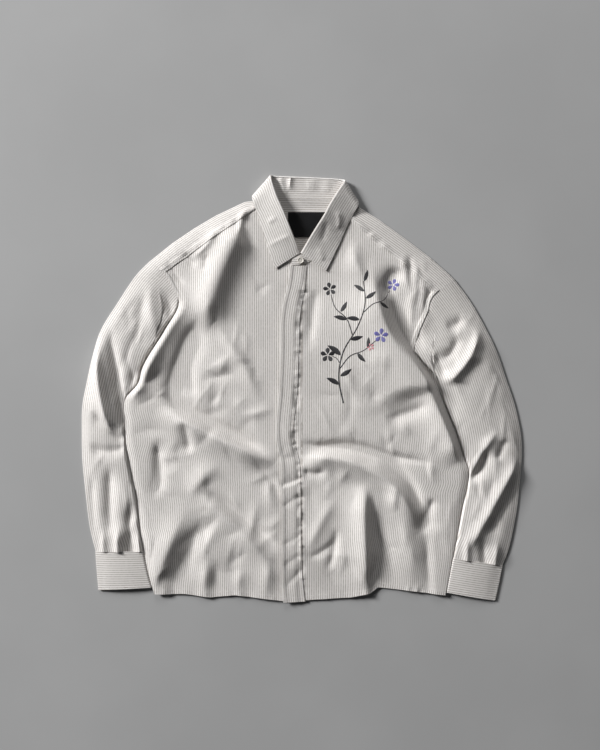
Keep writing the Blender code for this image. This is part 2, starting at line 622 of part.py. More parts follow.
def tube(table, folds, side, rings, lower, pressed, armhole=None):
    """Flattened tube: rings along it, each from its outer fold over the top and back below."""
    places = np.arange(len(table))
    rows = np.array(table, float)
    count = OPEN_STEPS + COVERED_STEPS + 1
    grid = np.zeros((2 * count - 2, rings, 3))
    for ring in range(rings):
        along = ring / (rings - 1)
        row = through(places, rows, along * places[-1])
        ends, height = row[:4].reshape(2, 2), row[4]
        shares = across_steps(ends, along, side, armhole)
        x, y = ring_plan(ends, shares, along, side, armhole).T
        width = np.hypot(*(ends[1] - ends[0]))
        level = height * (0.82 + 0.18 * np.sin(np.pi * shares)) + relief(x, y, folds)
        level = not_below(level, pressed + 0.4)
        ceiling = pressed + COVER_SLOPE * np.maximum(outside_body(x, y, side) - COVER_EDGE, 0.0)
        level = np.maximum(not_above(level, ceiling, 0.4), pressed)
        if armhole:
            joined = flush(x, y) * (1.0 - smooth(along / SEAM_BLEND))
            level = level + (front_height(x, y) - level) * joined
        level[-1 - COVERED_STEPS:] = pressed
        edge = lower + EDGE_LIFT
        over = edge + (level - edge) * rounded(shares * width, SLEEVE_ROLL)
        over[-1] = (lower + pressed) / 2
        under = lower + EDGE_LIFT * (1.0 - rounded(shares * width, EDGE_REACH))
        grid[:count, ring] = np.stack([x, y, over], axis=1)
        grid[count:, ring] = np.stack([x, y, under], axis=1)[-2:0:-1]
    return grid


def fly():
    """Fly placket: over the left front's edge, then down to the seam with the right front."""
    rows = []
    for y in np.linspace(HEM_Y - 2.0, FLY_TOP, FLY_ROWS):
        left = float(edge_x(FLY, y))
        right = float(edge_x(FLY, y, 2)) - FLY_SEAM
        x = left + (right - left) * np.array(FLY_STEPS)
        across = y + hem_shift(x, y)
        lift = FLY_LIFT * (1.0 - smooth((x - left - FLY_LAP - CLOTH) / FLY_FALL))
        rows.append(np.stack([x, across, front_height(x, across) + lift], axis=1))
    return np.array(rows)


def stand_lines(at):
    """Lower edge and top edge of the stand at places along it (its rows counted from 0)."""
    rows = through(np.arange(len(STAND)), np.array(STAND, float), at)
    return rows[..., :3], rows[..., 3:]


def collar_stand():
    """Stand: a band from the neck seam up to the line where the fall turns over it."""
    lower, top = stand_lines(np.linspace(0.0, len(STAND) - 1.0, STAND_STEPS))
    across = np.linspace(0.0, 1.0, STAND_ACROSS + 1)
    return lower[:, None] + (top - lower)[:, None] * across[None, :, None]


def unit(vectors):
    """Vectors of length 1."""
    return vectors / np.linalg.norm(vectors, axis=-1, keepdims=True)


def collar_fall():
    """Fall: it turns over the top of the stand and comes down outside it to its free edge."""
    rows = np.array(FALL, float)
    places = np.linspace(rows[0, 0], rows[-1, 0], FALL_STEPS)
    lower, top = stand_lines(places)
    edge = through(rows[:, 0], rows[:, 1:], places)
    tangent = unit(np.gradient(top, axis=0))
    upwards = unit(top - lower)
    upwards = unit(upwards - tangent * (upwards * tangent).sum(axis=1)[:, None])
    outwards = unit(np.cross(upwards, tangent))
    lines = []
    for turn in np.linspace(0.0, np.pi, ROLL_STEPS + 1):
        rise = FALL_GAP + FALL_ROLL * np.sin(turn)
        lines.append(top + upwards * rise + outwards * FALL_ROLL * (1.0 - np.cos(turn)))
    start = lines[-1]
    for share in np.linspace(0.0, 1.0, FALL_ACROSS + 1)[1:]:
        lines.append(start + (edge - start) * share)
    grid = np.stack(lines, axis=1)
    grid[..., 2] = np.maximum(grid[..., 2], LOWER)
    return grid


def label():
    """Neck label, lying on the inside of the yoke."""
    left, right, bottom, top, thickness = LABEL
    x, y = np.meshgrid(np.linspace(left, right, 4), np.linspace(bottom, top, 3))
    z = np.full_like(x, CLOTH + SEAM + thickness / 2)
    return np.stack([x, y, z], axis=-1)


def button():
    """Round button with a raised rim."""
    radius, inside, height, rim = BUTTON
    x, y, z = BUTTON_PLACE
    profile = ((0.0, 0.0), (radius - 0.6, 0.0), (radius, 0.6), (radius, height - 0.5),
               (radius - 0.5, height), (inside + 0.4, height), (inside, height - rim), (0.0, height - rim))
    points = [(x, y, z)]
    faces = []
    for across, level in profile[1:-1]:
        for step in range(BUTTON_SIDES):
            turn = 2.0 * np.pi * step / BUTTON_SIDES
            points.append((x + across * np.cos(turn), y + across * np.sin(turn), z + level))
    points.append((x, y, z + profile[-1][1]))
    rings = len(profile) - 2
    for step in range(BUTTON_SIDES):
        after = (step + 1) % BUTTON_SIDES
        faces.append((0, 1 + after, 1 + step))
        for ring in range(rings - 1):
            first = 1 + ring * BUTTON_SIDES
            second = first + BUTTON_SIDES
            faces.append((first + step, first + after, second + after, second + step))
        last = 1 + (rings - 1) * BUTTON_SIDES
        faces.append((last + step, last + after, len(points) - 1))
    return solid("neck_button", points, faces, "button_plastic")


def panel(name, grid, slot="striped_cloth", thickness=CLOTH):
    """Wall on a plain grid of points."""
    grid = np.asarray(grid)
    quads = grid_quads(grid.shape[0], grid.shape[1])
    return wall(name, grid.reshape(-1, 3), quads, slot, thickness)


def closed_tube(name, grid, thickness=CLOTH):
    """Wall on a tube's rings."""
    quads = grid_quads(grid.shape[0], grid.shape[1], wrap=True)
    return wall(name, grid.reshape(-1, 3), quads, "striped_cloth", thickness)


def build():
    """All pieces of the shirt."""
    panel("back_panel", back_panel())
    yoke, keep = back_yoke()
    wall("back_yoke", yoke.reshape(-1, 3), yoke_quads(keep), "striped_cloth")
    panel("front_left", front_left())
    panel("front_right", front_right())
    panel("fly_placket", fly())
    panel("collar_stand", collar_stand())
    panel("collar_fall", collar_fall())
    closed_tube("sleeve_left", tube(LEFT_SLEEVE, LEFT_SLEEVE_FOLDS, -1, SLEEVE_RINGS, LOWER,
                                    PRESSED, LEFT_ARMHOLE))
    closed_tube("sleeve_right", tube(RIGHT_SLEEVE, RIGHT_SLEEVE_FOLDS, 1, SLEEVE_RINGS, LOWER,
                                     PRESSED, RIGHT_ARMHOLE))
    cuff_lower = CUFF_WALL / 2
    cuff_pressed = TUCK - SEAM - CUFF_WALL / 2
    closed_tube("cuff_left", tube(LEFT_CUFF, (), -1, CUFF_RINGS, cuff_lower, cuff_pressed), CUFF_WALL)
    closed_tube("cuff_right", tube(RIGHT_CUFF, (), 1, CUFF_RINGS, cuff_lower, cuff_pressed), CUFF_WALL)
    panel("neck_label", label(), "label_cloth", LABEL[-1])
    button()


def centre():
    """Put the origin at the bottom centre of the whole shirt."""
    corners = np.array([vertex.co[:] for piece in bpy.data.objects for vertex in piece.data.vertices])
    low, high = corners.min(axis=0), corners.max(axis=0)
    shift = np.array([(low[0] + high[0]) / 2, (low[1] + high[1]) / 2, low[2]])
    for piece in bpy.data.objects:
        for vertex in piece.data.vertices:
            vertex.co = tuple(np.array(vertex.co[:]) - shift)


def clear():
    """Start from an empty scene."""
    for piece in list(bpy.data.objects):
        bpy.data.objects.remove(piece, do_unlink=True)


clear()
build()
centre()
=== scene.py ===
"""Looks of the drop-shoulder shirt laid flat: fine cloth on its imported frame, with creases,
seams, stitching, a sewn design on the chest, a neck label and a button.

Sizes are millimetres seen from straight above: x runs to the viewer's right, y towards the
collar, z up from the surface that the shirt lies on. They become metres when a mesh is made.
"""

import bpy
import numpy as np
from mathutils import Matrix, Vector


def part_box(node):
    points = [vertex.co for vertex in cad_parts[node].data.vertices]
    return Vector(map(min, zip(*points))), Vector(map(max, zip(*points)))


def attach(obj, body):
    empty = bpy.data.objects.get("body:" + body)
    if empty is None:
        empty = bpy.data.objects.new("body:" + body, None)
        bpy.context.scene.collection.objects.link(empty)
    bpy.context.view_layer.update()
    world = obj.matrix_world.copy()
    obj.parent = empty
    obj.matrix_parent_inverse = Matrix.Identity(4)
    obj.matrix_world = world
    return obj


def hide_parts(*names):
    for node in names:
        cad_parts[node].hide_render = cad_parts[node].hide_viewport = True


MM = 0.001
UP = (0.0, 0.0, 1.0)

# Cloth
CLOTH = 0.8                 # thickness of the cloth
CAD_CLOTH = 1.2             # thickness of the walls in the frame
COLLAR_CLOTH = 1.2          # collar and cuffs are two cloths with an interlining
SEAM = 0.3
LOWER = CAD_CLOTH / 2       # middle of a wall that lies on the surface
PRESSED = 2.4               # middle of a sleeve's upper wall where the body lies on it
TUCK = 3.6                  # height of the strip of sleeve that the body lies on
OVER_TUCK = 1.15            # share of that height by which the fronts are held up there
STRIPE_PERIOD = 3.95        # width of one light and one dark stripe together

# Body
BODY_HEIGHT = 9.0           # middle of the fronts above the surface
HEM_DROP = 6.3              # how much lower the fronts are at the hem
HEM_REACH = 110.0           # height of the zone in which they come down to it
STRIP_LEAST = 4.0           # least width of a strip of sleeve below the body's side
HIGHEST_FOLD = 28.0         # no fold of the fronts rises higher over the surface
SOFT_TOP = 2.5              # softness of that limit
SOFT = 0.8                  # softness of the change from one height to another
EDGE_ROLL = 16.0            # reach of the soft rise from the folds along the body's sides
FOLD_POWER = 1.9            # how steep the cloth comes up from a pressed fold
FLUSH_LEFT = 150.0          # y above which fronts and sleeves meet edge to edge
FLUSH_RIGHT = 60.0
FLUSH_OVER = 34.0           # y range in which the fold along the side fades into that seam
FRONT_ROWS = 168
SLOPE_ROWS = 44
FRONT_COLUMNS = 112
HEM_Y = -370.0              # mean y of the fronts' hem
HEM_SHIFT_TOP = -250.0      # y above which the rows no longer follow the hem's line
YOKE_DROP = 0.9             # from the yoke seam down to the fronts' upper edge
FLY_LAP = 24.0              # how far the left front reaches under the fly
FLY_OVER = 0.6              # how far fly and right front reach over their seam
NECK_ROOM = 1.0             # room between the fronts and the collar's seam, seen from above
NECK_TIP = 4.0              # least width of a front, at its tip beside the neck
RIM_RISE = 1.3              # how much a sewn edge stands up over the cloth beside it
RIM_WIDTH = 5.0
RIM_FADE = 3.0
EDGE_ROOM = 0.5             # room between a front's side fold and the sleeve below it
FLUSH_LAP = 0.8             # how far a front's edge lies further out where it meets the sleeve's
FLUSH_ROOM = 60.0           # added to a sleeve's distance outside the body where seams are flush

# Side edges of the body: y, x
LEFT_EDGE = ((-372, -264), (-337, -274), (-292, -283), (-247, -290), (-198, -295), (-157, -304),
             (-97, -315), (-58, -317), (-16, -315), (7, -295), (38, -286), (102, -248),
             (158, -221), (184, -233), (210, -250))
RIGHT_EDGE = ((-372, 257), (-312, 268), (-268, 277), (-216, 286), (-178, 295), (-146, 298),
              (-119, 288), (-83, 277), (-38, 259), (-6, 247), (23, 238), (50, 214), (68, 202),
              (101, 209), (135, 223), (173, 241))
# Armhole seams, underarm to shoulder: y, x
LEFT_ARMHOLE = ((-24, -308), (7, -282), (38, -264), (102, -234), (158, -221), (184, -233),
                (210, -250), (219, -261.5), (228, -273))
RIGHT_ARMHOLE = ((-56, 261), (-30, 244), (-6, 230), (23, 216), (50, 205), (68, 202), (101, 209),
                 (135, 223), (173, 241), (184, 257.5), (195, 274))
# Fly placket: y, left edge x, right edge x
FLY = ((-383, -32, 7), (-331, -36, 0), (-263, -36, -2), (-171, -37, -3), (-132, -38, -5),
       (-97, -45, -14), (0, -41, -9), (86, -38, -6), (119, -38, -5), (156, -33, 0),
       (184, -26, 5), (222, -21, 8))
# Hem of the fronts: x, y
HEM = ((-265, -369), (-209, -369), (-164, -375), (-119, -371), (-65, -378), (-32, -382),
       (11, -380), (88, -375), (123, -367), (137, -357), (184, -362), (258, -371))
# Seams between the yoke and the fronts: x, y
LEFT_YOKE_SEAM = ((-250, 210), (-93, 320), (-83, 325))
RIGHT_YOKE_SEAM = ((241, 173), (90, 304), (87, 306.5))
# Shoulder folds, armhole to neck: x, y
LEFT_SHOULDER = ((-273, 228), (-232, 261), (-192, 288), (-153, 311), (-102, 335), (-85.5, 336.5))
RIGHT_SHOULDER = ((274, 195), (262, 207), (229, 236), (187, 268), (140, 302), (97.5, 328.5))
BACK_SEAM_Y = (176, 162)    # seam between back panel and yoke, at the left and the right armhole
BACK_ROWS = 70
BACK_HEM_Y = -366.0
BACK_TUCK = 1.5             # from the body's fold to the back's side below it
ARMHOLE_ROOM = 2.0          # room between the back and the sleeves' lower side
STRIP_STEPS = (4.0, 8.0, 13.0, 19.0, 25.0, 30.0)   # from the strip's inner side inwards
BACK_MIDDLE = 40
YOKE_ROWS = 26
WING_ROWS = 26
SHOULDER_COLUMNS = 52
NECK_COLUMNS = 40
SHOULDER_ROLL = 28.0        # reach of the soft rise from the shoulder's fold
NECK_RISE = 1.6             # how much the yoke rises towards the neck seam, and over which reach
NECK_REACH = 16.0
WING_LAP = 1.4              # how far the yoke reaches over the fronts at its seam
WING_SHARE = 0.2            # most that it may reach over them, in shares of its length there
WING_RIM = 12.0             # length of the yoke's front layer from which its seam has a full rim
FLY_ROWS = 210
FLY_COLUMNS = 22
FLY_TOP = 219.5
FLY_LIFT = 1.3              # the fly's height over the front below it
FLY_STEP = 22.0             # from its left edge to where it comes down to the right front
FLY_FALL = 9.0              # width of that slope
FLY_HANG = 2.0              # how far it hangs below the fronts
FLY_RIM = 0.6               # its left edge's height, in shares of a sewn rim
FLY_STRIPE = -0.9           # cut coordinate of its left edge
FLY_SEAM = 1.0              # its height over the right front at their seam
TUCK_INSIDE = 30.0          # how far inside the sleeve's inner side the body reaches the surface
TUCK_SLOPE = 22.0           # width of the slope down to it
TUCK_TOP = (6.0, -26.0)     # y below which the body lies on the left and on the right sleeve
TUCK_FADE = 26.0            # y range in which that strip fades out

# Sleeves, armhole to cuff: outer x, outer y, inner x, inner y, height
LEFT_SLEEVE = ((-273, 228, -308, -24, 8), (-299, 201, -311, -30, 11), (-331, 153, -311.5, -38, 13),
               (-360, 106, -308.5, -51, 14), (-375, 61, -302, -74, 13), (-387, 7, -290, -104, 12),
               (-394, -31, -283, -135, 11), (-395, -74, -276, -165, 11), (-394, -127, -269, -196, 11),
               (-389, -180, -263, -226, 11), (-381, -247, -258, -262, 10), (-370, -293, -258, -292, 8))
RIGHT_SLEEVE = ((274, 195, 261, -56, 8), (301, 158, 264, -63, 11), (324, 119, 266.5, -72, 13),
                (349, 68, 268.5, -88, 14), (367, 16, 270, -108, 13), (382, -29, 271, -133, 12),
                (392, -74, 269, -160, 12), (395, -110, 265, -187, 11), (393, -151, 259, -215, 11),
                (385, -223, 252, -248, 11), (373, -283, 247, -280, 10), (360, -318, 250, -301, 8))
SLEEVE_RINGS = 170
OPEN_STEPS = 52             # steps across a sleeve where it shows
COVERED_STEPS = 8           # steps across the strip below the body
COVER_SEARCH = 200          # places across a ring that are tried for the end of its open part
OPEN_SHARE = 0.9            # open part of a ring that never goes below the body
SLEEVE_ROLL = 24.0          # reach of the soft rise from its folded edge
EDGE_LIFT = 1.6             # how much the underside rises towards a folded edge
EDGE_REACH = 4.0
SLEEVE_ROOM = 0.3           # from the armhole seam to the sleeve's edge, below the front's rim
COVER_EDGE = 1.2            # how far outside the body's fold a sleeve is already pressed flat
COVER_SLOPE = 2.0           # steepness of a sleeve that comes out from below the body
SEAM_BLEND = 0.12           # share of the sleeve over which it takes the fronts' height
SLEEVE_EDGE = 0.5           # a sleeve's height at its folded edges, in shares of its middle
PRESS_ROOM = 0.4            # least height of a sleeve's open part over its pressed part, and
                            # softness of its ceiling beside the body
ARMHOLE_FADE = 0.44         # share of the sleeve in which its rings lose the armhole's curve
ARMHOLE_INNER = 0.75        # share by which that is shorter at the sleeve's inner side

# Cuffs, sleeve seam to edge: outer x, outer y, inner x, inner y, height
LEFT_CUFF = ((-370.5, -292.4, -258, -291.6, 8), (-368, -327, -256, -324, 7.4),
             (-365, -362, -254, -356, 6.5))
RIGHT_CUFF = ((360.5, -317.6, 250, -300.6, 8), (354, -350, 244, -331, 7.4),
              (347, -381, 238, -362, 6.5))
CUFF_RINGS = 26
CUFF_LOWER = 0.75           # middle of a cuff's lower wall

# Collar stand, left front end to right front end: seam x, y, z, top x, y, z
STAND = ((6, 215.5, 7.6, 3, 234, 8.2), (-3, 217, 8, -7, 241, 9.8), (-20, 228, 8.6, -12, 257, 12.4),
         (-34, 241, 9, -18, 273, 15), (-47, 259, 9, -25, 291, 16.5), (-58, 277, 9, -32, 309, 17),
         (-68, 295, 8.8, -40, 327, 16), (-75, 313, 8.2, -48, 346, 14), (-83, 335, 5.2, -56, 376, 8.6),
         (-72, 340, 2.4, -47, 378.5, 4.2), (-43, 340, 2.2, -32, 378, 3.8), (-3, 340, 2.2, -3, 377, 3.8),
         (50, 339, 2.2, 50, 374.5, 3.8), (80, 336, 2.4, 70, 372.5, 4), (95, 327, 5.2, 76, 367.5, 8.6),
         (85, 312, 8.2, 64.5, 349, 15.5), (77, 299, 8.8, 50, 325, 18.5), (67, 284, 9, 42, 309, 20),
         (56, 270, 9, 30, 290, 19.5), (43, 255, 9, 18, 271, 17.5), (29, 241, 9, 8, 254, 14.2),
         (15, 228, 9.6, 0, 241, 11.8), (-3, 222, 10.6, -7, 237, 11.4), (-19, 221, 10.8, -17, 236, 11.4))
NECK_LEFT = (1.0, 8.0)      # rows of the stand from a front's tip up to the shoulder, from 0
NECK_RIGHT = (22.0, 14.0)
STAND_STEPS = 185
STAND_ACROSS = 14
# Collar fall: place along the stand (its rows counted from 0), outer edge x, y, z
FALL = ((1, -47, 215, 11.6), (2, -54, 231, 11.4), (3, -59, 246, 11.2), (4, -65, 265, 11),
        (5, -70, 284, 11), (6, -76, 301, 10.8), (7, -81, 318, 10.6), (7.5, -87, 333, 10.6),
        (8, -89, 345, 5.6),
        (9, -72, 342.5, 0.8), (10, -45, 341, 0.6), (11, -3, 341, 0.6), (12, 54, 340, 0.6),
        (13, 84, 339, 0.8), (14, 101.5, 335, 5.6),
        (14.5, 100, 326, 10.6), (15, 96, 319, 10.6), (16, 88, 305, 10.8),
        (17, 79, 287, 11), (18, 74, 275, 11), (19, 66, 257, 11.2), (20, 55, 234, 11.4),
        (21, 43, 210, 11.8))
FALL_STEPS = 161
FALL_ACROSS = 24
FALL_ROLL = 1.6             # radius in which the fall turns over the top of the stand
FALL_GAP = 1.0
ROLL_STEPS = 8

# Folds and creases, each a soft ridge or trough through three points: start x, y, middle x, y,
# end x, y, rise, width on the left, width on the right (seen from start to end), share of the
# length over which it fades in at the start and out at the end
BODY_FOLDS = (
    (-178, 90, -155, 185, -104, 297, 14, 30, 25, 0.35, 0.2),
    (-304, -27, -259, 77, -201, 185, 7, 14, 17, 0.15, 0.35),
    (-240, -31, -210, 62, -178, 142, -10, 15, 26, 0.25, 0.4),
    (-262, -32, -172, -78, -42, -138, 9.5, 10, 22, 0.3, 0.3),
    (-264, -200, -257, -145, -264, -84, -5, 10, 14, 0.3, 0.3),
    (-205, -205, -183, -166, -142, -132, 4, 22, 18, 0.4, 0.4),
    (-174, -178, -104, -232, -38, -292, -4, 10, 9, 0.3, 0.3),
    (-192, -184, -114, -250, -48, -318, 5, 9, 17, 0.25, 0.3),
    (-272, -382, -239, -286, -200, -200, 6.5, 28, 18, 0, 0.5),
    (-173, -384, -173, -339, -167, -295, 5, 14, 13, 0, 0.6),
    (-111, -384, -113, -344, -104, -308, 4, 11, 14, 0, 0.6),
    (234, -6, 155, 95, 123, 236, 13, 68, 16, 0.12, 0.4),
    (261, -9, 184, 102, 157, 189, -9, 12, 20, 0.2, 0.3),
    (115, 182, 96, 228, 78, 272, 4, 22, 13, 0.4, 0.3),
    (10, -106, 152, -126, 226, -240, -6, 10, 11, 0.2, 0.25),
    (-2, -124, 133, -152, 212, -256, 9, 14, 26, 0.15, 0.25),
    (148, -58, 191, -43, 234, -24, -4, 13, 14, 0.3, 0.3),
    (118, -385, 113, -285, 111, -166, 10, 24, 11, 0, 0.25),
    (153, -385, 146, -299, 123, -207, -5, 14, 14, 0, 0.5),
    (202, -385, 193, -294, 177, -209, 4, 25, 31, 0, 0.5),
    (10, -292, 34, -240, 60, -196, 2.5, 12, 12, 0.3, 0.3),
    (243, -380, 238, -312, 249, -254, -4, 13, 16, 0, 0.4),
)
BODY_CREASES = (
    (-111, 272, -108, 300, -101, 326, 3, 7, 7, 0.3, 0.3),
    (-214, -56, -205, -88, -202, -120, -4, 9, 12, 0.3, 0.3),
    (-252, -14, -166, -60, -54, -122, -8.5, 12, 9, 0.2, 0.3),
    (-154, 108, -118, 66, -82, 30, 2.5, 8, 10, 0.3, 0.4),
    (206, -212, 226, -280, 246, -340, -4, 20, 20, 0.3, 0.3),
    (282, -138, 238, -30, 165, 110, 9, 26, 14, 0.15, 0.3),
    (28, 185, 18, 120, 12, 60, -3, 10, 16, 0.3, 0.4),
    (2, -147, 24, -151, 48, -146, -3.5, 6, 10, 0.1, 0.4),
    (62, -246, 58, -290, 46, -330, -3.5, 7, 9, 0.3, 0.3),
    (8, -304, 36, -292, 62, -268, -2, 6, 8, 0.3, 0.3),
    (-38, -174, -20, -169, 0, -160, -2.2, 14, 3, 0.1, 0.1),
    (-36, -212, -20, -202, -2, -188, -1.0, 5, 7, 0.2, 0.1),
    (-36, -280, -20, -273, -3, -262, -0.9, 6, 6, 0.2, 0.1),
    (-34, -318, -20, -309, -3, -296, -0.9, 5, 8, 0.2, 0.1),
    (-29, -358, -17, -344, -3, -326, -1.3, 7, 5, 0.2, 0.1),
    (236, -194, 227, -225, 212, -262, -3.5, 9, 9, 0.2, 0.3),
    (-222, 60, -204, 20, -190, -20, -3, 9, 12, 0.3, 0.3),
    (-72, -24, -106, 41, -144, 97, 3, 13, 13, 0.4, 0.4),
    (-232, -382, -201, -290, -174, -222, -4, 14, 14, 0, 0.4),
    (-149, -384, -153, -344, -155, -304, -3, 11, 11, 0, 0.6),
    (-65, -384, -61, -330, -56, -276, 4, 18, 14, 0, 0.6),
    (-93, -128, -57, -162, -38, -200, -2, 7, 7, 0.3, 0.3),
    (148, 160, 157, 192, 178, 218, -7, 12, 14, 0.3, 0.3),
    (191, 79, 196, 142, 184, 236, 2, 9, 9, 0.3, 0.3),
    (214, 88, 218, 151, 211, 218, 2, 9, 9, 0.3, 0.3),
    (-6, -97, 118, -114, 250, -137, -4, 7, 8, 0.15, 0.3),
    (-243, 228, -226, 204, -205, 182, -2.5, 6, 7, 0.2, 0.4),
    (-216, 245, -200, 231, -187, 214, -2.5, 5, 6, 0.3, 0.4),
    (-198, 232, -170, 255, -151, 290, 3, 8, 8, 0.3, 0.3),
    (-169, 241, -172, 222, -171, 205, -2, 6, 6, 0.3, 0.4),
    (177, 241, 183, 210, 189, 178, 1.4, 6, 5, 0.2, 0.4),
    (193, 243, 194, 203, 193, 164, -1.6, 5, 5, 0.2, 0.4),
    (206, 225, 204, 183, 200, 142, 1.5, 5, 6, 0.2, 0.4),
    (232, 183, 222, 148, 213, 111, -2, 5, 6, 0.2, 0.3),
)
LEFT_SLEEVE_FOLDS = (
    (-336, -92, -361, 0, -364, 118, 8, 13, 10, 0.2, 0.4),
    (-311, -78, -331, 20, -345, 116, -9, 11, 10, 0.1, 0.4),
    (-290, 62, -292, 110, -276, 178, -3, 10, 14, 0.3, 0.3),
    (-248, 88, -272, 155, -263, 210, 4, 13, 13, 0.3, 0.5),
    (-232, 124, -241, 164, -252, 196, -4, 9, 11, 0.3, 0.3),
    (-378, -38, -338, -79, -313, -97, -4, 9, 11, 0.3, 0.2),
    (-385, -103, -349, -112, -313, -103, -3, 11, 11, 0.3, 0.2),
    (-344, -261, -345, -196, -344, -132, -5, 11, 11, 0.3, 0.3),
    (-374, -276, -378, -209, -374, -146, -3, 9, 9, 0.3, 0.3),
    (-308, -294, -309, -245, -308, -196, -5, 9, 11, 0, 0.4),
    (-356, -295, -356, -272, -354, -243, 3, 7, 7, 0, 0.6),
    (-329, -295, -329, -268, -326, -240, 4, 7, 7, 0, 0.6),
    (-290, -295, -290, -274, -288, -250, 3, 7, 7, 0, 0.6),
)
RIGHT_SLEEVE_FOLDS = (
    (252, 8, 300, 58, 317, 112, 6.5, 9, 9, 0.15, 0.3),
    (256, 110, 272, 113, 292, 124, -4, 11, 11, 0.3, 0.3),
    (243, 47, 268, 65, 281, 99, -5, 11, 11, 0.3, 0.3),
    (297, -171, 321, -142, 331, -101, -5, 13, 11, 0.3, 0.3),
    (349, -132, 357, -110, 366, -88, -3, 9, 9, 0.3, 0.3),
    (296, -292, 352, -190, 394, -118, 5, 12, 10, 0.2, 0.2),
    (318, -268, 368, -205, 396, -150, -3, 10, 12, 0.2, 0.2),
    (238, 66, 247, 44, 262, 20, -4, 8, 8, 0.3, 0.3),
    (300, -160, 325, -108, 352, -72, 3.5, 9, 9, 0.3, 0.3),
    (328, -319, 326, -294, 321, -265, -4, 9, 9, 0, 0.5),
    (295, -308, 295, -285, 295, -258, 3, 7, 7, 0, 0.6),
    (346, -319, 348, -295, 349, -268, 3, 7, 7, 0, 0.6),
)

# Creases of the collar, as the folds above
FALL_CREASES = (
    (-60, 256, -40, 265, -16, 276, 0.8, 3, 6, 0.1, 0.1),
    (-62, 296, -54, 300, -44, 306, 1.0, 5, 5, 0.3, 0.3),
    (44, 300, 40, 278, 34, 258, -1.0, 6, 6, 0.3, 0.3),
    (62, 318, 66, 300, 64, 282, 1.2, 6, 5, 0.3, 0.3),
    (26, 250, 34, 240, 38, 226, 1.0, 5, 6, 0.3, 0.3),
)
STAND_CREASES = (
    (-40, 380, -34, 362, -32, 342, 1.6, 4, 5, 0.2, 0.3),
    (-19, 380, -22, 366, -20, 352, 2.2, 5, 3, 0.1, 0.4),
    (22, 378, 17, 364, 18, 350, 1.4, 4, 5, 0.2, 0.4),
    (44, 376, 46, 362, 42, 348, 1.2, 5, 4, 0.2, 0.4),
)
# Puckers across a sewn line: seed, distance from one to the next, reach to each side, angle to
# the line in degrees, rise
FLY_PUCKERS = (3, 10.0, 11.0, 70.0, 1.2)
HEM_PUCKERS = (4, 15.0, 17.0, 90.0, 2.0)
YOKE_PUCKERS = (6, 13.0, 12.0, 65.0, 0.8)
# Small creases and soft waves of the cloth, scattered between the folds: seed, number, left,
# right, bottom, top of their area, heading in degrees, spread of the heading, least and most
# rise, least and most width
BODY_SCATTER = (
    (11, 110, -290, 270, -360, 230, 105.0, 34.0, 0.3, 1.0, 3.5, 8.0),
    (23, 34, -270, -50, -340, 60, 40.0, 30.0, 0.7, 2.2, 7.0, 15.0),
    (29, 30, 20, 250, -340, 60, 125.0, 40.0, 0.7, 2.2, 7.0, 15.0),
)
LEFT_SLEEVE_SCATTER = (
    (5, 34, -390, -260, -280, 180, 80.0, 24.0, 0.4, 1.2, 3.5, 8.0),
    (31, 12, -380, -270, -260, 160, 70.0, 30.0, 0.6, 1.8, 6.0, 12.0),
)
RIGHT_SLEEVE_SCATTER = (
    (8, 34, 255, 390, -290, 150, 100.0, 24.0, 0.4, 1.2, 3.5, 8.0),
    (37, 12, 262, 380, -270, 130, 115.0, 30.0, 0.6, 1.8, 6.0, 12.0),
)
# Half length of a scattered crease, least and most, and spread of its middle's place aside, in
# shares of that half length
SCATTER_HALF = (18.0, 48.0)
SCATTER_BOW = 0.12
# Puckers: spread of their angle in degrees, least and most width, then how far they lie off
# their even places, in shares of the distance, and shares of the given reach and rise
PUCKER_TURN = 16.0
PUCKER_WIDTH = (2.2, 4.6)
PUCKER_SHIFT = (-0.35, 0.35)
PUCKER_REACH = (0.5, 1.2)
PUCKER_RISE = (0.4, 1.2)
CREST = 0.03                # roundness of a fold's crest, in squares of its width
FOOT_POWER = 0.75           # how far a fold's sides run out into its foot
FOOT_FALL = 1.2             # how fast its height falls off there
GAIN = 1.42                 # how much higher the folds are than in the frame's coarser walls
HEM_FLAT = (0.35, 50.0)     # share of a fold's height left at the hem, and reach of that
# Ellipse about the collar in which the fronts' folds fade out: centre x, y, reach in x and in y
COLLAR_ROOM = (-2.0, 275.0, 88.0, 74.0)
COLLAR_FADE = (0.95, 0.35)  # share of it at which they start, and reach of the fade
# Where the stripes are pulled askew: centre x, y, reach in x and in y, and slope
DRIFT = (175.0, -265.0, 75.0, 90.0, 0.28)

# Stitching
STITCH = (3.0, 2.2, 0.26)                  # pitch, length, radius
STITCH_LIFT = 0.05                         # height of a stitch's middle over the cloth
EDGE_STITCH = 5.0                          # from an edge to its row of stitches
# Rows of stitches: grid of points, its edge, distance from it, start and end in shares of it
SEAM_ROWS = (
    ("front_left", "first_row", 8.0, 0.02, 1.0),
    ("front_right", "first_row", 8.0, 0.0, 0.98),
    ("front_left", "first_column", EDGE_STITCH, 0.70, 0.79),
    ("front_right", "first_column", EDGE_STITCH, 0.62, 0.79),
    ("fly_placket", "first_column", 4.0, 0.01, 0.99),
    ("fly_placket", "last_column", 3.0, 0.01, 0.99),
    ("fly_placket", "last_row", 4.0, 0.1, 0.9),
    ("fly_placket", "first_row", 8.0, 0.05, 0.95),
    ("collar_fall", "last_column", EDGE_STITCH, 0.03, 0.97),
    ("collar_fall", "first_row", EDGE_STITCH, 0.3, 0.97),
    ("collar_fall", "last_row", EDGE_STITCH, 0.3, 0.97),
    ("collar_stand", "first_column", 3.0, 0.35, 0.65),
    ("yoke_left", "last_column", 2.5, 0.0, 1.0),
    ("yoke_right", "last_column", 2.5, 0.0, 1.0),
    ("cuff_left", "last_column", 4.0, 0.12, 1.0),
    ("cuff_left", "first_column", 4.0, 0.12, 1.0),
    ("cuff_right", "last_column", 4.0, 0.12, 1.0),
    ("cuff_right", "first_column", 4.0, 0.12, 1.0),
)
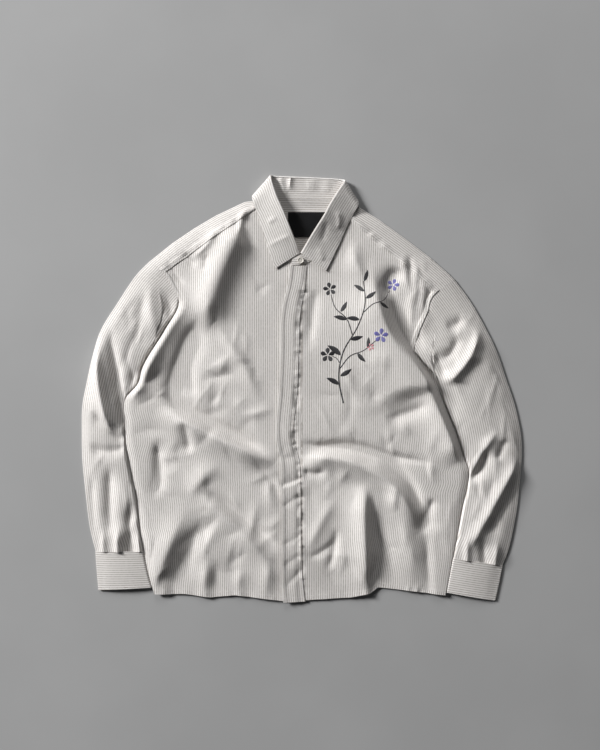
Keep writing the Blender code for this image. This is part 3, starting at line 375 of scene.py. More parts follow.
FLY_BAR = 186.0                            # y of the row of stitches across the fly
BAR_START = 3                              # column of the fly's grid at which that row starts
LABEL_ROW = (2.0, 0.03, 0.97)              # the label's rows: distance from its edge, start, end

# Small pieces
LABEL = (-25, 43, 272, 317, 0.9)           # left, right, bottom, top, thickness in the frame
LABEL_THIN = 0.7                           # thickness of its cloth here, in shares of that
LABEL_WAVE = (0.25, 9.0, 20.0)             # half height of its waves, their length per radian,
                                           # reach in which they fade out at its top
BUTTON_PLACE = (-2, 229, 11.9)             # centre x, y and underside z
BUTTON = (5.4, 4.3, 2.2, 0.7)              # radius, radius inside the rim, height, rim height
BUTTON_SIDES = 48
BUTTON_SHARP = 40.0                        # angle from which its edges are sharp, in degrees
BUTTON_HOLES = (1.15, 0.55)                # distance from the centre along x and y, radius
HOLE_SIDES = 16
DRILL_LEVELS = (-1.0, 3.0)                 # ends of a drill over the button's underside
BUTTON_THREAD = (0.3, 0.1, 0.25, 0.25)     # reach past the holes, height there and between them,
                                           # half the distance between its two strands

# Chest design, a sprig of the maker's own kind: stems, leaves and blossoms on the right front.
# Stems: width at the start, width at the end, then points x, y
STEMS = (
    (3.0, 1.9, (74, -26), (66, 20), (74, 66), (98, 108), (112, 150), (110, 192)),
    (2.2, 1.5, (68, 36), (86, 58), (110, 68), (132, 86)),
    (2.2, 1.5, (90, 96), (80, 124), (60, 144), (52, 168)),
    (1.8, 1.3, (69, 44), (62, 54), (54, 58)),
    (2.0, 1.4, (110, 136), (126, 150), (146, 158), (158, 176)),
)
# Leaves: base x, y, heading in degrees, length, width
LEAVES = (
    (68, 6, 152, 26, 9.5), (67, 22, 32, 24, 9.0), (71, 58, 143, 30, 11.0),
    (84, 88, 12, 24, 9.0), (81, 122, 165, 24, 9.0), (68, 136, 58, 22, 8.0),
    (104, 122, 172, 24, 9.0), (112, 160, 34, 22, 8.0), (112, 172, 146, 22, 8.0),
    (98, 65, -48, 22, 8.0), (116, 71, 84, 20, 7.0), (138, 155, -34, 20, 7.5),
    (110, 190, 72, 22, 7.5),
)
# Blossoms: centre x, y, petals, petal length, petal width, turn in degrees, colour
BLOSSOMS = (
    (140, 94, 5, 12.0, 8.0, 12, "violet"),
    (50, 178, 5, 11.0, 7.5, 30, "black"),
    (164, 186, 5, 10.0, 7.0, 0, "violet"),
    (122, 74, 5, 5.5, 4.2, 40, "pink"),
    (46, 60, 5, 12.0, 8.5, 18, "black"),
)
DESIGN_RISE = 0.55          # height of the sewn threads over the cloth
DESIGN_SUNK = 0.12          # how deep their edges lie in it

# Colours, linear; a pair is blended by stripes, faint clouds, or by the weave, where the lighter one is a
# painted highlight
CREAM = (0.90, 0.87, 0.84)
TAUPE = (0.50, 0.455, 0.42)
# thread colours; thread() paints a lighter copy of each on the thread's raised lines as a highlight
SEWING_THREAD = (0.74, 0.70, 0.65)
SPRIG_THREADS = {"black": (0.012, 0.011, 0.014), "violet": (0.13, 0.125, 0.36),
                 "pink": (0.62, 0.25, 0.28)}
SPRIG_SHINE = 0.2
# black of the label's sunken weave, then a lighter black painted on its raised weave as a highlight
LABEL_BLACKS = ((0.003, 0.003, 0.004), (0.009, 0.009, 0.010))
BUTTON_CREAMS = ((0.66, 0.62, 0.56), (0.80, 0.77, 0.71))
FLOOR_GREYS = ((0.42, 0.42, 0.42), (0.45, 0.45, 0.45))
# Threads: width of a warp thread and a weft thread of the cloth, length of a stripe that shows
# between two weft threads, width of an embroidery thread, rib and warp of the label
YARN = (0.5, 0.55)
STRIPE_BREAK = 0.9
SEWN_THREAD = 0.6
LABEL_RIB = (0.5, 0.8)

# Camera straight above the shirt, in metres: x and y, height, and height of its view on the floor
CAMERA_OVER = (-0.0033, 0.0249)
CAMERA_HEIGHT = 1.5
CAMERA_VIEW = 1.35
# Square lights that shine at the shirt's middle: name, place and side in metres, power in watts
LIGHTS = (
    ("window", (-6.9, 3.8, 3.3), 2.0, 1075.0),
    ("second_window", (-0.6, 6.6, 3.0), 2.4, 150.0),
)
SKY_COLOUR = (0.93, 0.96, 1.0)
SKY_STRENGTH = 0.04
FLOOR_HALF = 4.0
FLOOR_DROP = 0.0003         # the floor lies this much below the shirt


def smooth(value):
    """Soft step from 0 to 1."""
    value = np.clip(value, 0.0, 1.0)
    return value * value * (3.0 - 2.0 * value)


def through(places, values, at):
    """Smooth curve through the values of a table, read at one or many places."""
    places = np.asarray(places, float)
    values = np.asarray(values, float)
    at = np.clip(np.asarray(at, float), places[0], places[-1])
    slopes = np.gradient(values, places, axis=0)
    index = np.clip(np.searchsorted(places, at, side="right") - 1, 0, len(places) - 2)
    width = places[index + 1] - places[index]
    share = (at - places[index]) / width
    if values.ndim > 1:
        share = share[..., None]
        width = width[..., None]
    start = (1 + 2 * share) * (1 - share) ** 2 * values[index]
    start_slope = share * (1 - share) ** 2 * width * slopes[index]
    end = share ** 2 * (3 - 2 * share) * values[index + 1]
    end_slope = share ** 2 * (share - 1) * width * slopes[index + 1]
    return start + start_slope + end + end_slope


def column(table, number):
    """One column of a table as numbers."""
    return np.array([row[number] for row in table], float)


def edge_x(table, y, number=1):
    """x of an edge given as rows of y and x."""
    return through(column(table, 0), column(table, number), y)


def line_y(table, x):
    """y of a line given as rows of x and y."""
    return np.interp(x, column(table, 0), column(table, 1))


def relief(x, y, folds):
    """Height that the folds add at x, y; each has a narrow crest and wide foot."""
    height = np.zeros_like(np.asarray(x, float))
    for x0, y0, xm, ym, x1, y1, rise, left, right, fade_in, fade_out in folds:
        length = np.hypot(x1 - x0, y1 - y0)
        ahead_x, ahead_y = (x1 - x0) / length, (y1 - y0) / length
        bow = (xm - x0) * ahead_y - (ym - y0) * ahead_x
        along = ((x - x0) * ahead_x + (y - y0) * ahead_y) / length
        inside = np.clip(along, 0.0, 1.0)
        aside = (x - x0) * ahead_y - (y - y0) * ahead_x - bow * 4.0 * inside * (1.0 - inside)
        beyond = np.maximum(np.maximum(-along, along - 1.0), 0.0) * length
        spread = np.where(aside < 0.0, left, right)
        foot = ((aside / spread) ** 2 + CREST) ** FOOT_POWER - CREST ** FOOT_POWER
        level = np.exp(-FOOT_FALL * foot - (beyond / spread) ** 2)
        if fade_in > 0.0:
            level = level * smooth(along / fade_in)
        if fade_out > 0.0:
            level = level * smooth((1.0 - along) / fade_out)
        height = height + GAIN * rise * level
    return height


def run(line):
    """Length along a line to each of its points."""
    steps = np.linalg.norm(np.diff(line, axis=0), axis=1)
    return np.concatenate([[0.0], np.cumsum(steps)])


def crease(x, y, turn, half, bow, rise, widths):
    """Row of a fold table: a crease about x, y that heads one way, its middle a little aside."""
    ahead_x, ahead_y = np.cos(turn) * half, np.sin(turn) * half
    aside_x, aside_y = -np.sin(turn) * bow, np.cos(turn) * bow
    return (x - ahead_x, y - ahead_y, x + aside_x, y + aside_y, x + ahead_x, y + ahead_y,
            rise, *widths, 0.5, 0.5)


def scatter(seed, count, left, right, bottom, top, heading, spread, least, most, narrow, wide):
    """Table of small creases at seeded places, uneven in length, depth and direction."""
    random = np.random.default_rng(seed)
    creases = []
    for _ in range(count):
        x, y = random.uniform(left, right), random.uniform(bottom, top)
        turn = np.radians(random.normal(heading, spread))
        half = random.uniform(*SCATTER_HALF)
        bow = random.normal(0.0, SCATTER_BOW) * half
        rise = random.uniform(least, most) * random.choice((-1.0, 1.0))
        creases.append(crease(x, y, turn, half, bow, rise, random.uniform(narrow, wide, 2)))
    return creases


def puckers(line, seed, pitch, reach, angle, rise):
    """Table of small creases that cross a sewn line given as rows of x and y."""
    random = np.random.default_rng(seed)
    line = np.array(line, float)
    lengths = run(line)
    creases = []
    for place in np.arange(pitch / 2.0, lengths[-1], pitch):
        place = place + random.uniform(*PUCKER_SHIFT) * pitch
        x, y = (np.interp(place, lengths, line[:, axis]) for axis in range(2))
        after_x, after_y = (np.interp(place + 2.0, lengths, line[:, axis]) for axis in range(2))
        along = np.arctan2(after_y - y, after_x - x)
        turn = along + np.radians(random.normal(angle, PUCKER_TURN))
        half = reach * random.uniform(*PUCKER_REACH)
        high = rise * random.uniform(*PUCKER_RISE) * random.choice((-1.0, 1.0))
        creases.append(crease(x, y, turn, half, 0.0, high, random.uniform(*PUCKER_WIDTH, 2)))
    return creases


def not_below(height, floor, soft=SOFT):
    """Keep a height above a floor, with a soft change from one to the other."""
    return floor + soft * np.logaddexp(0.0, (height - floor) / soft)


def not_above(height, ceiling, soft=SOFT):
    """Keep a height below a ceiling, with a soft change from one to the other."""
    return ceiling - soft * np.logaddexp(0.0, (ceiling - height) / soft)


def inner_line(sleeve):
    """Inner side of a sleeve as rows of y and x, upwards."""
    return [(row[3], row[2]) for row in sleeve[::-1]]


def tuck(x, y):
    """Height of the strips of sleeve that lie below the body's sides."""
    left_reach = edge_x(inner_line(LEFT_SLEEVE), y) + TUCK_INSIDE - x
    right_reach = x - edge_x(inner_line(RIGHT_SLEEVE), y) + TUCK_INSIDE
    left = smooth(left_reach / TUCK_SLOPE) * smooth((TUCK_TOP[0] - y) / TUCK_FADE)
    right = smooth(right_reach / TUCK_SLOPE) * smooth((TUCK_TOP[1] - y) / TUCK_FADE)
    return TUCK * np.maximum(left, right)


def hem_shift(x, y):
    """How far a row near the hem is moved up or down to follow the hem's line."""
    return (line_y(HEM, x) - HEM_Y) * smooth((HEM_SHIFT_TOP - y) / (HEM_SHIFT_TOP - HEM_Y))


def collar_clearance(x, y):
    """0 below the collar, 1 away from it: folds fade out there."""
    centre_x, centre_y, reach_x, reach_y = COLLAR_ROOM
    reach = np.hypot((x - centre_x) / reach_x, (y - centre_y) / reach_y)
    start, fade = COLLAR_FADE
    return smooth((reach - start) / fade)


def front_height(x, y):
    """Middle of the fronts' cloth at x, y, without the roll along their sides."""
    x, y = np.asarray(x, float), np.asarray(y, float)
    floor = LOWER + CAD_CLOTH + 2.0 * SEAM + OVER_TUCK * tuck(x, y)
    above_hem = y - line_y(HEM, x)
    level = BODY_HEIGHT - HEM_DROP * (1.0 - smooth(above_hem / HEM_REACH))
    share, reach = HEM_FLAT
    kept = share + (1.0 - share) * smooth(above_hem / reach)
    folds = relief(x, y, BODY_FOLDS + BODY_CREASES + BODY_SMALL)
    height = not_above(level + folds * kept * collar_clearance(x, y), HIGHEST_FOLD, SOFT_TOP)
    return not_below(height, floor)


def flush(x, y):
    """1 where fronts and sleeves meet edge to edge, 0 where the front's fold lies on the sleeve."""
    start = np.where(np.asarray(x) < 0.0, FLUSH_LEFT, FLUSH_RIGHT)
    return smooth((y - start) / FLUSH_OVER)


def edge_height(x, y):
    """Middle of the fronts' cloth where their side folds come to rest."""
    low = TUCK + CAD_CLOTH + SEAM + EDGE_ROOM
    return low + (front_height(x, y) - low) * flush(x, y)


def rounded(distance, radius):
    """Rise of a quarter round from its edge, 0 to 1."""
    share = 1.0 - np.clip(distance / radius, 0.0, 1.0)
    return np.sqrt(1.0 - share * share)


def pressed_fold(distance, radius):
    """Rise of a flat fold from its edge, 0 to 1: steep at the edge, then ever softer."""
    share = 1.0 - np.clip(distance / radius, 0.0, 1.0)
    return 1.0 - share ** FOLD_POWER


def rim(distance):
    """Rise of a sewn edge, where the cloth is turned in under itself."""
    return RIM_RISE * (1.0 - smooth((distance - RIM_WIDTH) / RIM_FADE))


def rounded_steps(count):
    """Steps from 0 to 1 that are close together at both ends."""
    even = np.linspace(0.0, 1.0, count)
    return 0.35 * even + 0.65 * (1.0 - np.cos(np.pi * even)) / 2.0


def side_steps(count):
    """Steps from 0 to 1 that are closer together at the start."""
    even = np.linspace(0.0, 1.0, count)
    return 0.5 * even + 0.5 * even ** 2


def arc_lengths(grid, axis):
    """Length along the cloth from the first point of each line of a grid."""
    steps = np.linalg.norm(np.diff(grid, axis=axis), axis=2)
    lengths = np.cumsum(steps, axis=axis)
    pad = [(0, 0), (0, 0)]
    pad[axis] = (1, 0)
    return np.pad(lengths, pad)


def front_rows(seam):
    """Heights of a front's rows, one of them at the corner of armhole and yoke seam."""
    corner = seam[0][1] - YOKE_DROP
    above = np.linspace(corner, seam[-1][1] - 1.0 - YOKE_DROP, SLOPE_ROWS + 1)[1:]
    return np.concatenate([np.linspace(HEM_Y, corner, FRONT_ROWS), above])


def front_outer(y, side):
    """x of a front's outer side: its fold, the armhole seam, then the yoke seam."""
    edge, seam = (LEFT_EDGE, LEFT_YOKE_SEAM) if side < 0 else (RIGHT_EDGE, RIGHT_YOKE_SEAM)
    armhole = LEFT_ARMHOLE if side < 0 else RIGHT_ARMHOLE
    if y > seam[0][1] - YOKE_DROP + 0.01:
        return np.interp(y + YOKE_DROP, column(seam, 1), column(seam, 0))
    meeting = flush(side, y)
    seam_x = edge_x(edge, y) * (1.0 - meeting) + edge_x(armhole, y) * meeting
    return seam_x + side * (FLUSH_LAP * meeting - SEAM)


def neck_x(y, side):
    """x of the neck seam at height y, on the left (-1) or on the right (1)."""
    start, end = NECK_LEFT if side < 0 else NECK_RIGHT
    seam = stand_lines(np.linspace(start, end, 60))[0]
    return np.interp(y, seam[:, 1], seam[:, 0])


def front(side):
    """A front: from its side to the lap below the fly (left) or to the fly's seam (right)."""
    seam = LEFT_YOKE_SEAM if side < 0 else RIGHT_YOKE_SEAM
    ends = []
    for y in front_rows(seam):
        outer = front_outer(y, side)
        if side < 0:
            inner = edge_x(FLY, y) + FLY_LAP
        else:
            inner = edge_x(FLY, y, 2) - FLY_OVER
        if y > FLY_TOP:
            at_neck = neck_x(y, side) + side * NECK_ROOM
            inner = min(inner, at_neck) if side < 0 else max(inner, at_neck)
        if side * (outer - inner) < NECK_TIP:
            inner = outer - side * NECK_TIP
        ends.append((y, outer, inner))
    y, outer, inner = np.array(ends).T[..., None]
    x = outer + (inner - outer) * side_steps(FRONT_COLUMNS)
    y = y + hem_shift(x, y)
    distance = np.abs(x - outer)
    low = edge_height(x, y)
    z = low + (front_height(x, y) - low) * pressed_fold(distance, EDGE_ROLL) + flush(x, y) * rim(distance)
    grid = np.stack([x, y, z], axis=-1)
    spare = arc_lengths(grid[:, ::-1], 1)[:, ::-1] - np.abs(x - x[:, -1:])
    return grid, np.stack([np.abs(x) + spare + stripe_drift(x, y), y], axis=-1)


def stripe_drift(x, y):
    """How far the stripes lie aside of straight ones, where the cloth is pulled askew."""
    centre_x, centre_y, reach_x, reach_y, slope = DRIFT
    pulled = np.exp(-((x - centre_x) / reach_x) ** 2 - ((y - centre_y) / reach_y) ** 2)
    return slope * pulled * (y - centre_y)


def back_side(y, side):
    """x of the back panel's side: below the fronts' fold, then along the armhole."""
    edge, armhole = (LEFT_EDGE, LEFT_ARMHOLE) if side < 0 else (RIGHT_EDGE, RIGHT_ARMHOLE)
    if y < armhole[0][0]:
        return edge_x(edge, y) - side * BACK_TUCK
    return edge_x(armhole, y) - side * ARMHOLE_ROOM


def back_panel():
    """Back: flat in the middle, and over the strips of sleeve at its sides."""
    rows = []
    for share in np.linspace(0.0, 1.0, BACK_ROWS):
        y_left, y_right = [BACK_HEM_Y + share * (top - SEAM - BACK_HEM_Y) for top in BACK_SEAM_Y]
        left, right = back_side(y_left, -1), back_side(y_right, 1)
        left_strip = max(edge_x(inner_line(LEFT_SLEEVE), y_left), left + STRIP_LEAST)
        right_strip = min(edge_x(inner_line(RIGHT_SLEEVE), y_right), right - STRIP_LEAST)
        x = [left, (left + left_strip) / 2] + [left_strip + step for step in STRIP_STEPS]
        flat_right = right_strip - STRIP_STEPS[-1]
        x += list(np.linspace(x[-1], flat_right, BACK_MIDDLE)[1:-1])
        x += [right_strip - step for step in STRIP_STEPS[::-1]] + [(right + right_strip) / 2, right]
        x = np.array(x)
        y = y_left + (y_right - y_left) * (x - left) / (right - left)
        hem = (line_y(HEM, x) - HEM_Y) * (1.0 - share) ** 6
        rows.append(np.stack([x, y + hem, LOWER + tuck(x, y)], axis=1))
    grid = np.array(rows)
    return grid, grid[..., :2].copy()


def line_at(line, share):
    """Point at a share of a line's length."""
    line = np.asarray(line, float)
    lengths = run(line)
    return np.array([np.interp(share * lengths[-1], lengths, values) for values in line.T])


def back_neck():
    """Back neckline of the yoke, left shoulder to right: x, y."""
    seam = [(row[0], row[1] - SEAM) for row in STAND[9:14]]
    return [LEFT_SHOULDER[-1]] + seam + [RIGHT_SHOULDER[-1]]


def yoke_columns():
    """Columns of the yoke: its top point, and its front seam point or none."""
    shoulders = np.linspace(0.0, 1.0, SHOULDER_COLUMNS)
    columns = []
    for share in shoulders:
        columns.append((line_at(LEFT_SHOULDER, share), line_at(LEFT_YOKE_SEAM, share)))
    for share in np.linspace(0.0, 1.0, NECK_COLUMNS + 2)[1:-1]:
        columns.append((line_at(back_neck(), share), None))
    for share in shoulders[::-1]:
        columns.append((line_at(RIGHT_SHOULDER, share), line_at(RIGHT_YOKE_SEAM, share)))
    return columns


def back_yoke():
    """Yoke: flat at the back, rounded over each shoulder, down to its front seams. The last
    value tells which quads of its grid are cloth: behind the neck there is no front layer."""
    columns = yoke_columns()
    left = back_side(BACK_SEAM_Y[0], -1)
    right = back_side(BACK_SEAM_Y[1], 1)
    span_left, span_right = columns[0][0][0], columns[-1][0][0]
    back, wings = [], []
    has_wing = np.array([seam is not None for top, seam in columns])
    for top, seam in columns:
        share = (top[0] - span_left) / (span_right - span_left)
        start = np.array([left + share * (right - left),
                          BACK_SEAM_Y[0] + share * (BACK_SEAM_Y[1] - BACK_SEAM_Y[0]) + SEAM])
        back.append([yoke_back_point(start, top, step, share, seam is None)
                     for step in side_steps(YOKE_ROWS)[::-1]])
        if seam is None:
            wings.append((*top, *top))
        else:
            length = np.hypot(*(seam - top))
            wings.append((*top, *(seam + (seam - top) * min(WING_LAP / max(length, 1.0), WING_SHARE))))
    back = np.array(back)
    wing = wing_points(np.array(wings))
    wing[~has_wing] = back[~has_wing, -1:]
    grid = np.concatenate([back, wing], axis=1)
    lengths = arc_lengths(grid, 1)
    across = lengths - lengths[:, YOKE_ROWS - 1:YOKE_ROWS]
    keep = np.ones((len(grid) - 1, grid.shape[1] - 1), bool)
    keep[~(has_wing[:-1] & has_wing[1:]), YOKE_ROWS - 1:] = False
    return grid, np.stack([across, grid[..., 0]], axis=-1), keep


def armhole_bow(y, side):
    """How far the back's armhole bends from a straight line between yoke seam and shoulder."""
    low = BACK_SEAM_Y[0 if side < 0 else 1]
    high = (LEFT_ARMHOLE if side < 0 else RIGHT_ARMHOLE)[-1][0]
    share = (y - low) / (high - low)
    return back_side(y, side) - back_side(low, side) * (1.0 - share) - back_side(high, side) * share


def yoke_back_point(start, top, step, share, at_neck):
    """Point of the yoke's back layer; step 1 is its back seam, 0 its top."""
    x, y = top + (start - top) * step
    middle = 4.0 * step * (1.0 - step)
    x += middle * max(0.0, 1.0 - 4.0 * share) * armhole_bow(y, -1)
    x += middle * max(0.0, 4.0 * share - 3.0) * armhole_bow(y, 1)
    below = step * np.hypot(*(start - top))
    if at_neck:
        return (x, y, LOWER + NECK_RISE * smooth(1.0 - below / NECK_REACH))
    return (x, y, LOWER + EDGE_LIFT * (1.0 - rounded(below, EDGE_REACH)))


def wing_points(ends):
    """Points of the yoke's front layer, from the shoulder fold to the front seam."""
    step = side_steps(WING_ROWS)[1:]
    top, seam = ends[:, None, :2], ends[:, None, 2:]
    x, y = np.moveaxis(top + (seam - top) * step[:, None], -1, 0)
    length = np.hypot(*np.moveaxis(seam - top, -1, 0))
    low = LOWER + EDGE_LIFT
    height = front_height(x, y) + rim((1.0 - step) * length) * smooth(length / WING_RIM)
    z = low + (height - low) * pressed_fold(step * length, SHOULDER_ROLL)
    return np.stack([x, y, z], axis=-1)


def armhole_curve(armhole):
    """Armhole seam from the shoulder to the underarm: x, y."""
    heights = np.linspace(armhole[-1][0], armhole[0][0], 80)
    return np.stack([edge_x(armhole, heights), heights], axis=1)


def outside_body(x, y, side):
    """How far a point of a sleeve is outside the body's fold; large where seams meet flush."""
    edge = edge_x(LEFT_EDGE if side < 0 else RIGHT_EDGE, y)
    return side * (x - edge) + FLUSH_ROOM * flush(x, y)


def ring_plan(ends, shares, along, side, armhole):
    """x and y across a ring; near its start it follows the armhole's curve."""
    plan = ends[0] + (ends[1] - ends[0]) * shares[:, None]
    if armhole:
        curve = armhole_curve(armhole)
        bent = np.maximum(0.0, 1.0 - along / (ARMHOLE_FADE * (1.0 - ARMHOLE_INNER * shares))) ** 2
        straight = curve[0] + (curve[-1] - curve[0]) * shares[:, None]
        seam = np.array([line_at(curve, share) for share in shares])
        plan = plan + (seam - straight + np.array([side * SLEEVE_ROOM, 0.0])) * bent[:, None]
    return plan


def across_steps(ends, along, side, armhole):
    """Places across a ring: close together at its fold and where it goes below the body."""
    fine = np.linspace(0.0, 1.0, COVER_SEARCH)
    plan = ring_plan(ends, fine, along, side, armhole)
    last_open = np.nonzero(outside_body(plan[:, 0], plan[:, 1], side) >= COVER_EDGE)[0][-1]
    shown = fine[last_open + 1] if last_open < len(fine) - 1 else OPEN_SHARE
    hidden = shown + (1.0 - shown) * np.linspace(0.0, 1.0, COVERED_STEPS + 1)[1:]
    return np.concatenate([shown * rounded_steps(OPEN_STEPS + 1), hidden])


def tube(table, folds, side, rings, lower, pressed, armhole=None):
    """Flattened tube: rings along it, each from its outer fold over the top and back below."""
    places = np.linspace(0.0, len(table) - 1.0, rings)
    rows = through(np.arange(len(table)), np.array(table, float), places)
    along = np.linspace(0.0, 1.0, rings)
    shares, plans = [], []
    for ring in range(rings):
        ends = rows[ring, :4].reshape(2, 2)
        shares.append(across_steps(ends, along[ring], side, armhole))
        plans.append(ring_plan(ends, shares[-1], along[ring], side, armhole))
    shares = np.array(shares).T
    x, y = np.moveaxis(np.array(plans), -1, 0).transpose(0, 2, 1)
    width = np.hypot(rows[:, 2] - rows[:, 0], rows[:, 3] - rows[:, 1])
    level = rows[:, 4] * (SLEEVE_EDGE + (1.0 - SLEEVE_EDGE) * np.sin(np.pi * shares))
    if folds:
        level = level + relief(x, y, folds)
    level = not_below(level, pressed + PRESS_ROOM)
    ceiling = pressed + COVER_SLOPE * np.maximum(outside_body(x, y, side) - COVER_EDGE, 0.0)
    level = np.maximum(not_above(level, ceiling, PRESS_ROOM), pressed)
    if armhole:
        joined = flush(x, y) * (1.0 - smooth(along / SEAM_BLEND))
        level = level + (front_height(x, y) - level) * joined
    level[-1 - COVERED_STEPS:] = pressed
    edge = lower + EDGE_LIFT
    over = edge + (level - edge) * pressed_fold(shares * width, SLEEVE_ROLL)
    over[-1] = (lower + pressed) / 2
    under = lower + EDGE_LIFT * (1.0 - rounded(shares * width, EDGE_REACH))
    upper_side = np.stack([x, y, over], axis=-1)
    underside = np.stack([x, y, under], axis=-1)
    return np.concatenate([upper_side, underside[-2:0:-1]])


def sleeve_cut(grid):
    """Cut coordinates of a sleeve: distance from its outer fold, and place along it."""
    fold = grid[0, :, :2]
    closed = np.concatenate([grid, grid[:1]])
    points = closed[..., :2].reshape(-1, 2)
    starts, ends = fold[:-1], fold[1:]
    spans = ends - starts
    squared = (spans ** 2).sum(axis=1)
    distance = np.full(len(points), np.inf)
    for start, span, square in zip(starts, spans, squared):
        share = np.clip(((points - start) @ span) / square, 0.0, 1.0)
        away = np.hypot(*(points - start - share[:, None] * span).T)
        distance = np.minimum(distance, away)
    along = arc_lengths(closed, 1)
    return np.stack([distance.reshape(closed.shape[:2]), along], axis=-1)


def cuff_cut(grid):
    """Cut coordinates of a cuff: its stripes run round it."""
    closed = np.concatenate([grid, grid[:1]])
    return np.stack([arc_lengths(closed, 1), arc_lengths(closed, 0)], axis=-1)


def fly():
    """Fly placket: over the left front's edge, then down to the seam with the right front."""
    y = np.linspace(HEM_Y - FLY_HANG, FLY_TOP, FLY_ROWS)[:, None]
    left = edge_x(FLY, y)
    right = edge_x(FLY, y, 2) + FLY_OVER
    x = left + (right - left) * np.linspace(0.0, 1.0, FLY_COLUMNS)
    y = y + hem_shift(x, y)
    lift = FLY_SEAM + FLY_LIFT * (1.0 - smooth((x - left - FLY_STEP) / FLY_FALL))
    edge = FLY_RIM * rim(x - left)
    grid = np.stack([x, y, front_height(x, y) + lift + edge], axis=-1)
    return grid, np.stack([arc_lengths(grid, 1) + FLY_STRIPE, y], axis=-1)


def stand_lines(at):
    """Lower edge and top edge of the stand at places along it (its rows counted from 0)."""
    rows = through(np.arange(len(STAND)), np.array(STAND, float), at)
    return rows[..., :3], rows[..., 3:]


def collar_stand():
    """Stand: a band from the neck seam up to the line where the fall turns over it."""
    lower, top = stand_lines(np.linspace(0.0, len(STAND) - 1.0, STAND_STEPS))
    across = np.linspace(0.0, 1.0, STAND_ACROSS + 1)
    grid = lower[:, None] + (top - lower)[:, None] * across[None, :, None]
    grid[..., 2] += relief(grid[..., 0], grid[..., 1], STAND_CREASES)
    return grid, np.stack([arc_lengths(grid, 1), arc_lengths(grid, 0)], axis=-1)


def unit(vectors):
    """Vectors of length 1."""
    return vectors / np.linalg.norm(vectors, axis=-1, keepdims=True)


def collar_fall():
    """Fall: it turns over the top of the stand and comes down outside it to its free edge."""
    rows = np.array(FALL, float)
    places = np.linspace(rows[0, 0], rows[-1, 0], FALL_STEPS)
    lower, top = stand_lines(places)
    edge = through(rows[:, 0], rows[:, 1:], places)
    tangent = unit(np.gradient(top, axis=0))
    upwards = unit(top - lower)
    upwards = unit(upwards - tangent * (upwards * tangent).sum(axis=1)[:, None])
    outwards = unit(np.cross(upwards, tangent))
    lines = []
    for turn in np.linspace(0.0, np.pi, ROLL_STEPS + 1):
        rise = FALL_GAP + FALL_ROLL * np.sin(turn)
        lines.append(top + upwards * rise + outwards * FALL_ROLL * (1.0 - np.cos(turn)))
    start = lines[-1]
    square = np.abs(((edge - start) * unit(np.cross(tangent, (0.0, 0.0, 1.0)))).sum(axis=1))
    across = [np.full(FALL_STEPS, -FALL_ROLL * np.pi * (1.0 - step / ROLL_STEPS))
              for step in range(ROLL_STEPS + 1)]
    for share in np.linspace(0.0, 1.0, FALL_ACROSS + 1)[1:]:
        lines.append(start + (edge - start) * share)
        across.append(square * share)
    grid = np.stack(lines, axis=1)
    shown = np.linspace(-ROLL_STEPS / FALL_ACROSS, 1.0, grid.shape[1])
    grid[..., 2] += relief(grid[..., 0], grid[..., 1], FALL_CREASES) * smooth(4.0 * shown)
    grid[..., 2] = np.maximum(grid[..., 2], LOWER)
    return grid, np.stack([np.stack(across, axis=1), arc_lengths(grid, 0)], axis=-1)


def label():
    """Neck label, lying on the inside of the yoke."""
    left, right, bottom, top, thickness = LABEL
    height, length, reach = LABEL_WAVE
    x, y = np.meshgrid(np.linspace(left, right, 40), np.linspace(bottom, top, 28))
    wave = height * (1.0 + np.sin(x / length) * smooth((top - y) / reach))
    z = CAD_CLOTH + SEAM + thickness / 2 + wave
    return np.stack([x, y, z], axis=-1), np.stack([x, y], axis=-1)


def up_normals(grid):
    """Unit normals on a grid of points, all with their upper side up."""
    normals = unit(np.cross(np.gradient(grid, axis=1), np.gradient(grid, axis=0)) + 1e-9)
    return normals * np.where(normals[..., 2:] < 0.0, -1.0, 1.0)


def faces_of_grid(rows, columns, wrap=False, keep=None):
    """Quads of a grid of points, and the place in the grid of each of their corners."""
    index = np.arange(rows * columns).reshape(rows, columns)
    place = np.arange((rows + 1) * columns).reshape(rows + 1, columns)
    if wrap:
        index = np.vstack([index, index[:1]])
    else:
        place = place[:rows]
    quads = np.stack([index[:-1, :-1], index[:-1, 1:], index[1:, 1:], index[1:, :-1]], axis=-1)
    corners = np.stack([place[:-1, :-1], place[:-1, 1:], place[1:, 1:], place[1:, :-1]], axis=-1)
    if keep is not None:
        return quads[keep], corners[keep]
    return quads.reshape(-1, 4), corners.reshape(-1, 4)


def cloth_wall(name, grid, cut, thickness=CLOTH, wrap=False, keep=None):
    """Closed cloth wall on a grid of points; its UV map holds the cut's coordinates in metres."""
    rows, columns = grid.shape[:2]
    quads, corners = faces_of_grid(rows, columns, wrap, keep)
    points = grid.reshape(-1, 3)
    used, quads = np.unique(quads, return_inverse=True)
    quads = quads.reshape(-1, 4)
    points = points[used]
    a, b, c, d = (points[quads[:, k]] for k in range(4))
    face_normals = unit(np.cross(c - a, d - b) + 1e-12)
    normals = np.zeros_like(points)
    for k in range(4):
        np.add.at(normals, quads[:, k], face_normals)
    normals = unit(normals)
    count = len(points)
    both = np.vstack([points + normals * thickness / 2, points - normals * thickness / 2])
    starts = quads.ravel()
    ends = np.roll(quads, -1, axis=1).ravel()
    edge = ~np.isin(starts * count + ends, ends * count + starts)
    edge_quads = np.stack([ends, starts, starts + count, ends + count], axis=1)[edge]
    uv = cut.reshape(-1, 2)[corners]
    start_uv = uv.reshape(-1, 2)
    end_uv = np.roll(uv, -1, axis=1).reshape(-1, 2)
    edge_uv = np.stack([end_uv, start_uv, start_uv, end_uv], axis=1)[edge]
    faces = np.vstack([quads, quads[:, ::-1] + count, edge_quads])
    face_uv = np.vstack([uv, uv[:, ::-1], edge_uv])
    return mesh_object(name, both, faces, face_uv)


def in_scene(name, data):
    """Object of a mesh, a light or a camera, in the scene."""
    made = bpy.data.objects.new(name, data)
    bpy.context.scene.collection.objects.link(made)
    return made


